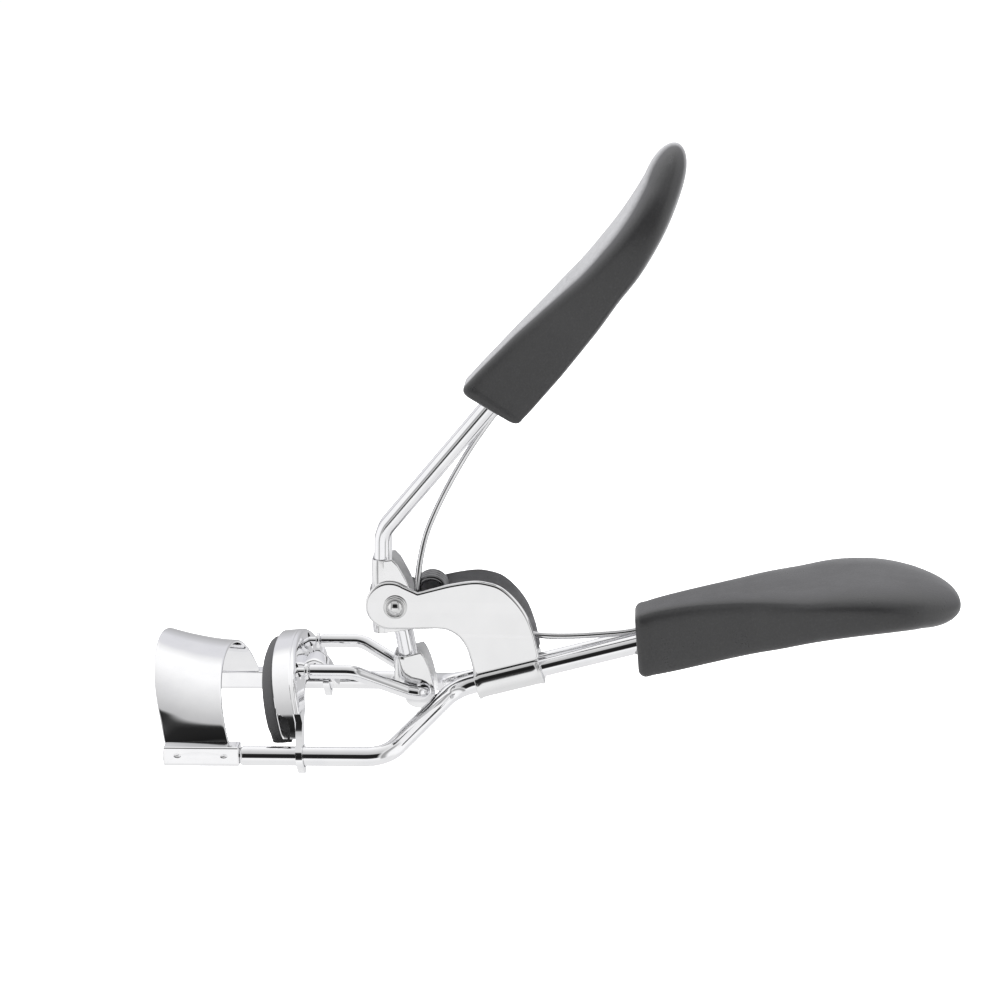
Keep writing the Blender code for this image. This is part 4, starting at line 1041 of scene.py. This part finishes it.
for name, side in (("push_wire_collar_near", -1), ("push_wire_collar_far", 1)):
    yc = side * PUSH_Y
    prof = [(0.56, -10.60), (0.84, -10.60), (0.95, -10.63), (1.005, -10.70), (1.02, -10.80), (1.02, -10.90), (1.005, -10.99), (0.95, -11.05), (0.84, -11.08), (0.56, -11.08)]
    n = 56
    verts = [(x, yc + r * math.cos(2 * math.pi * k / n), PUSH_Z + r * math.sin(2 * math.pi * k / n)) for r, x in prof for k in range(n)]
    q = len(prof)
    faces = [((i * n + k), (i * n + (k + 1) % n), (((i + 1) % q) * n + (k + 1) % n), (((i + 1) % q) * n + k)) for i in range(q) for k in range(n)]
    collar = build(name + "_ring", [(verts, faces)], CHROME_JAW, smooth=55)
    finish_piece(collar, "push_wire", "rivet_steel", name)

# ---------------------------------------------------------------- handle spring
w0 = SPRING_WIRE_R
pitch = 2 * w0 + 0.06
span = SPRING_TURNS * pitch
cx, cz_ = SPRING_C[0] + 0.02, SPRING_C[1] + 0.14
R_COIL = SPRING_R + 0.10
a_start = math.radians(176)
turn = 2 * math.pi * SPRING_TURNS + math.radians(96)
n_c = int(40 * turn / (2 * math.pi))
coil = []
for k in range(n_c + 1):
    t = k / n_c
    a = a_start + turn * t
    coil.append(Vector((cx + R_COIL * math.cos(a), -span / 2 - 0.1 + (span + 0.2) * t, cz_ + R_COIL * math.sin(a))))
upper = [Vector(p) for p in ((14.1, -0.0, 41.45), (11.95, 0.0, 38.75), (9.35, -0.1, 35.0), (7.10, -0.3, 31.2), (5.25, -0.6, 27.6), (3.90, -1.0, 24.4), (3.15, -1.4, 21.4), (2.80, -1.68, 18.9))]
lower = [Vector(p) for p in ((5.2, 1.80, 15.35), (7.0, 1.55, 14.2), (10.0, 1.1, 12.7), (13.4, 0.6, 11.6), (17.4, 0.15, 10.95), (21.0, 0.0, 10.85), (25.4, 0.0, 11.1), (29.65, 0.0, 11.6), (36.0, 0.0, 13.18))]


def smooth3(points, per):
    out = []
    n = len(points)
    for i in range(n - 1):
        p0, p1, p2, p3 = points[max(i - 1, 0)], points[i], points[i + 1], points[min(i + 2, n - 1)]
        for k in range(per):
            t = k / per
            out.append(0.5 * (2 * p1 + (p2 - p0) * t + (2 * p0 - 5 * p1 + 4 * p2 - p3) * t * t + (3 * p1 - p0 - 3 * p2 + p3) * t ** 3))
    out.append(points[-1])
    return out


route = smooth3(upper + [coil[0]], 10)[:-1] + coil + smooth3([coil[-1]] + lower, 10)[1:]
spring = build("handle_spring_wire", [tube(route, w0, 20)], SPRING)
# painted shade: the wire's colour is darkened to dark grey around the coil, where it sits between the cheeks
nt = SPRING.node_tree
bsdf = next(n for n in nt.nodes if n.type == "BSDF_PRINCIPLED")
tc = next(n for n in nt.nodes if n.type == "TEX_COORD")
near_coil = nt.nodes.new("ShaderNodeVectorMath")
near_coil.operation = "DISTANCE"
nt.links.new(tc.outputs["Object"], near_coil.inputs[0])
near_coil.inputs[1].default_value = tuple(W((cx, 0, cz_)))
# painted shade mask: 1 near the coil centre, fading out by 3.4 mm
smudge_tone_and_coil_shade = _range(nt, near_coil.outputs["Value"], 1.0, 0.0, 0.0026, 0.0034)
old = bsdf.inputs["Base Color"].links[0].from_socket
# mix the painted shade colour into the wire over the coil
nt.links.new(_mix(nt, smudge_tone_and_coil_shade, old, (0.20, 0.20, 0.205)), bsdf.inputs["Base Color"])
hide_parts("handle_spring")
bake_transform(spring)

# ---------------------------------------------------------------- grips
GRIP = [
    (0.00, 0.00, 3.30, 3.75, 3.6),
    (0.45, 0.00, 3.62, 4.05, 3.6),
    (3.00, 0.00, 3.85, 4.05, 3.6),
    (8.00, 0.02, 4.75, 3.80, 3.5),
    (13.0, 0.10, 6.30, 3.45, 3.4),
    (17.0, 0.24, 8.00, 3.15, 3.3),
    (21.0, 0.46, 9.50, 2.80, 3.2),
    (25.0, 0.74, 10.45, 2.74, 3.1),
    (28.5, 1.30, 10.75, 2.66, 3.0),
    (31.5, 2.03, 10.40, 2.60, 2.8),
    (34.5, 3.05, 9.10, 2.48, 2.6),
    (37.0, 4.12, 6.80, 2.20, 2.4),
    (38.6, 4.88, 4.20, 1.62, 2.2),
    (39.3, 5.20, 2.10, 0.95, 2.0),
]


def grip_stations(root_ext):
    """The table interpolated smoothly, with a rounded root edge and an oval closing at the tip."""
    rows = []
    for k in range(9):                              # rounded root edge
        a = math.pi / 2 * k / 8
        rows.append((-0.30 - root_ext + 0.95 * (1 - math.cos(a)), 0.0, 3.70 - 0.85 * (1 - math.sin(a)), 4.07 - 0.85 * (1 - math.sin(a)), 4.2))
    body = [tuple(p) for p in catmull(GRIP[1:12], 9)]
    rows += [p for p in body if 0.9 < p[0] < 34.4]
    s_end, x0 = 39.36, 4.86
    for k in range(0, 23):                          # tip: x is the distance left to the end
        x = x0 * (1 - math.sin(math.pi / 2 * k / 22)) if k < 22 else 0.0004
        q = x / x0
        w = 9.10 * q ** 0.41
        t = 2.48 * (1 - (1 - q) ** 2.2) ** 0.5
        h = 3.05 + 2.09 * (1 - q) ** 0.96
        rows.append((s_end - x, h, max(w, 0.02), max(t, 0.02), 2.6 - 0.6 * (1 - q)))
    return rows


def grip(name, root, angle, outward, body, thick, curl, stretch, lean, root_ext, mat, node):
    d = Vector((math.cos(angle), math.sin(angle)))
    o = Vector((-d.y, d.x)) * outward
    n = 96
    rows = grip_stations(root_ext)
    mids = [Vector(root) + d * s * stretch + o * h * curl for s, h, *_ in rows]
    loops = []
    for i, (s, h, w, t, sq) in enumerate(rows):
        a = mids[max(i - 2, 0)]
        b = mids[min(i + 2, len(mids) - 1)]
        tan = (b - a).normalized()
        nrm = Vector((-tan.y, tan.x)) * outward
        k_n = min(1.0, max(0.0, (s - 4.0) / 6.0))
        nrm = (o * (1 - k_n) + nrm * k_n).normalized()
        full = min(1.0, max(0.0, s) / 9.0) * (1.0 if s < 24 else max(0.0, 1 - (s - 24) / 10.0))
        t *= 1 + (thick[0] - 1) * full + (thick[1] - 1) * (1.0 - full) * min(1.0, max(0.0, s) / 12.0)
        crisp = 3.4 * max(0.0, 1 - max(0.0, s - 16.0) / 19.0)     # flatter faces and crisper ridges towards the root
        sq = sq + crisp
        loop = []
        for k in range(n):
            ang = 2 * math.pi * (k + 0.5) / n
            c, sn = math.cos(ang), math.sin(ang)
            yy = w * math.copysign(abs(c) ** (2 / sq), c)
            hh = t * math.copysign(abs(sn) ** (2 / sq), sn)
            p = mids[i] + nrm * hh - d * (lean * hh / max(t, 0.3)) * max(0.0, 1 - max(0.0, s) / 8.0)
            loop.append((p.x, yy, p.y))
        loops.append(loop)
    g = build(name, [loft(loops)], mat, smooth=60, dist=1e-9)
    return finish_piece(g, body, "grip_plastic", node)


grip("lower_grip_moulding", GRIP_ROOT_LOW, GRIP_AXIS_LOW, -1, "frame", (1.06, 1.06), 1.0, 1.0, 0.60, 0.42, PLASTIC_LOW, "lower_grip")
grip("upper_grip_moulding", GRIP_ROOT_UP, GRIP_AXIS_UP, 1, "lever", (1.03, 0.94), 0.90, 0.985, 0.68, 0.05, PLASTIC, "upper_grip")

# ---------------------------------------------------------------- studio
scene = bpy.context.scene
scene.view_settings.view_transform = "Standard"
scene.view_settings.look = "None"
scene.view_settings.exposure = 0.0
scene.view_settings.gamma = 1.0

world = bpy.data.worlds.new("studio")
scene.world = world
world.use_nodes = True
nt = world.node_tree
for n in list(nt.nodes):
    nt.nodes.remove(n)
out = nt.nodes.new("ShaderNodeOutputWorld")
bg = nt.nodes.new("ShaderNodeBackground")
nt.links.new(bg.outputs[0], out.inputs[0])
tc = nt.nodes.new("ShaderNodeTexCoord")
sep = nt.nodes.new("ShaderNodeSeparateXYZ")
nt.links.new(tc.outputs["Generated"], sep.inputs[0])
neg_y = _math(nt, "MULTIPLY", sep.outputs["Y"], -1.0)
# angle round the X axis: 0 level towards the front, 90 overhead, 180 level at the back, -90 below
phi = _math(nt, "ARCTAN2", sep.outputs["Z"], neg_y)
fac = _range(nt, phi, 0.0, 1.0, -math.pi, math.pi)
ramp = nt.nodes.new("ShaderNodeValToRGB")
ramp.color_ramp.interpolation = "LINEAR"
stops = [
    (-180, (0.48, 0.48, 0.49)), (-170, (0.55, 0.55, 0.56)), (-158, (0.82, 0.82, 0.83)), (-90, (0.86, 0.86, 0.86)), (-50, (0.85, 0.85, 0.85)), (-28, (0.93, 0.93, 0.93)), (-18, (1.0, 1.0, 1.0)),
    (-9.0, (0.98, 0.98, 0.98)), (-6.0, (0.06, 0.06, 0.06)), (8, (0.012, 0.012, 0.012)), (36, (0.020, 0.020, 0.020)), (40, (0.05, 0.05, 0.05)),
    (45, (0.54, 0.54, 0.54)), (60, (0.62, 0.62, 0.62)), (72, (0.70, 0.70, 0.70)), (90, (0.82, 0.82, 0.82)), (104, (0.93, 0.93, 0.93)), (118, (1.05, 1.05, 1.05)), (138, (1.10, 1.10, 1.10)), (144, (0.95, 0.95, 0.95)),
    (149, (0.79, 0.79, 0.815)), (163, (0.76, 0.76, 0.79)), (170, (0.60, 0.60, 0.62)), (180, (0.48, 0.48, 0.49)),
]
cr = ramp.color_ramp
while len(cr.elements) > 1:
    cr.elements.remove(cr.elements[-1])
first = True
for deg, col in stops:
    pos = (deg + 180) / 360
    if first:
        e = cr.elements[0]
        e.position = pos
        first = False
    else:
        e = cr.elements.new(pos)
    e.color = (*col, 1.0)
nt.links.new(fac, ramp.inputs[0])
abs_x = _math(nt, "ABSOLUTE", sep.outputs["X"], 0.0)
sides = nt.nodes.new("ShaderNodeValToRGB")
sr = sides.color_ramp
sr.elements[0].position, sr.elements[0].color = 0.0, (1, 1, 1, 1)
sr.elements[1].position, sr.elements[1].color = 1.0, (1.05, 1.05, 1.05, 1)
for pos, v in ((0.40, 1.0), (0.52, 0.95), (0.60, 0.34), (0.70, 0.42), (0.80, 1.0)):
    sr.elements.new(pos).color = (v, v, v, 1)
nt.links.new(abs_x, sides.inputs[0])
front = _range(nt, phi, 1.0, 0.0, math.radians(80), math.radians(104))
below = _range(nt, phi, 0.0, 1.0, math.radians(-40), math.radians(-18))
f1 = _math(nt, "MULTIPLY", _range(nt, abs_x, 0.0, 1.0, 0.42, 0.56), _math(nt, "MULTIPLY", front, below))
col = _mix(nt, f1, ramp.outputs[0], sides.outputs[0])
f2 = _range(nt, abs_x, 0.0, 1.0, 0.82, 0.97)
col = _mix(nt, f2, col, (1.05, 1.05, 1.05))
lp = nt.nodes.new("ShaderNodeLightPath")
col = _mix(nt, lp.outputs["Is Camera Ray"], col, (1.0, 1.0, 1.0))
nt.links.new(col, bg.inputs["Color"])
bg.inputs["Strength"].default_value = 1.0


def softbox(name, at, look, size, power):
    data = bpy.data.lights.new(name, "AREA")
    data.shape = "RECTANGLE"
    data.size, data.size_y = size
    data.energy = power
    lamp = bpy.data.objects.new(name, data)
    lamp.location = Vector(at)
    lamp.rotation_euler = (Vector(look) - Vector(at)).to_track_quat("-Z", "Y").to_euler()
    scene.collection.objects.link(lamp)
    return lamp


softbox("overhead_softbox", (-0.10, 0.12, 0.55), (0, 0, 0.03), (0.6, 0.45), 7.0).visible_glossy = False

floor_mesh = bpy.data.meshes.new("pale_floor")
bm = bmesh.new()
bmesh.ops.create_grid(bm, x_segments=8, y_segments=8, size=3.0)
bm.to_mesh(floor_mesh)
bm.free()
floor = bpy.data.objects.new("pale_floor", floor_mesh)
floor.location = (0, 0, CAD_BOX[0][2] - 0.030)
scene.collection.objects.link(floor)
fmat, fnt, fb, ftc = _tree("pale_floor_paint")
fcol = _mix(fnt, _range(fnt, _noise(fnt, ftc.outputs["Object"], 3.0, 3.0), 0.0, 1.0), (0.93, 0.93, 0.93), (0.95, 0.95, 0.95))
fnt.links.new(fcol, fb.inputs["Base Color"])
fb.inputs["Roughness"].default_value = 0.9
fb.inputs["Specular IOR Level"].default_value = 0.0
fb.inputs["Emission Color"].default_value = (1.0, 1.0, 1.0, 1.0)
fb.inputs["Emission Strength"].default_value = 0.30
floor_mesh.materials.append(fmat)
floor.visible_glossy = False

# ---------------------------------------------------------------- camera
cam_data = bpy.data.cameras.new("camera")
cam_data.lens = 2900 / 1002 * 36.0
cam_data.sensor_width = 36.0
cam_data.clip_start, cam_data.clip_end = 0.01, 20.0
camera = bpy.data.objects.new("camera", cam_data)
RIGHT = Vector((0.99876, 0.04912, -0.00781))
FORWARD = Vector((-0.04953, 0.96807, -0.24576))
FORWARD.normalize()
RIGHT = (RIGHT - FORWARD * RIGHT.dot(FORWARD)).normalized()
UP = RIGHT.cross(FORWARD).normalized()
rot = Matrix((RIGHT, UP, -FORWARD)).transposed().to_4x4()
camera.matrix_world = Matrix.Translation(W((30.927, -348.112, 116.660))) @ rot
scene.collection.objects.link(camera)
scene.camera = camera
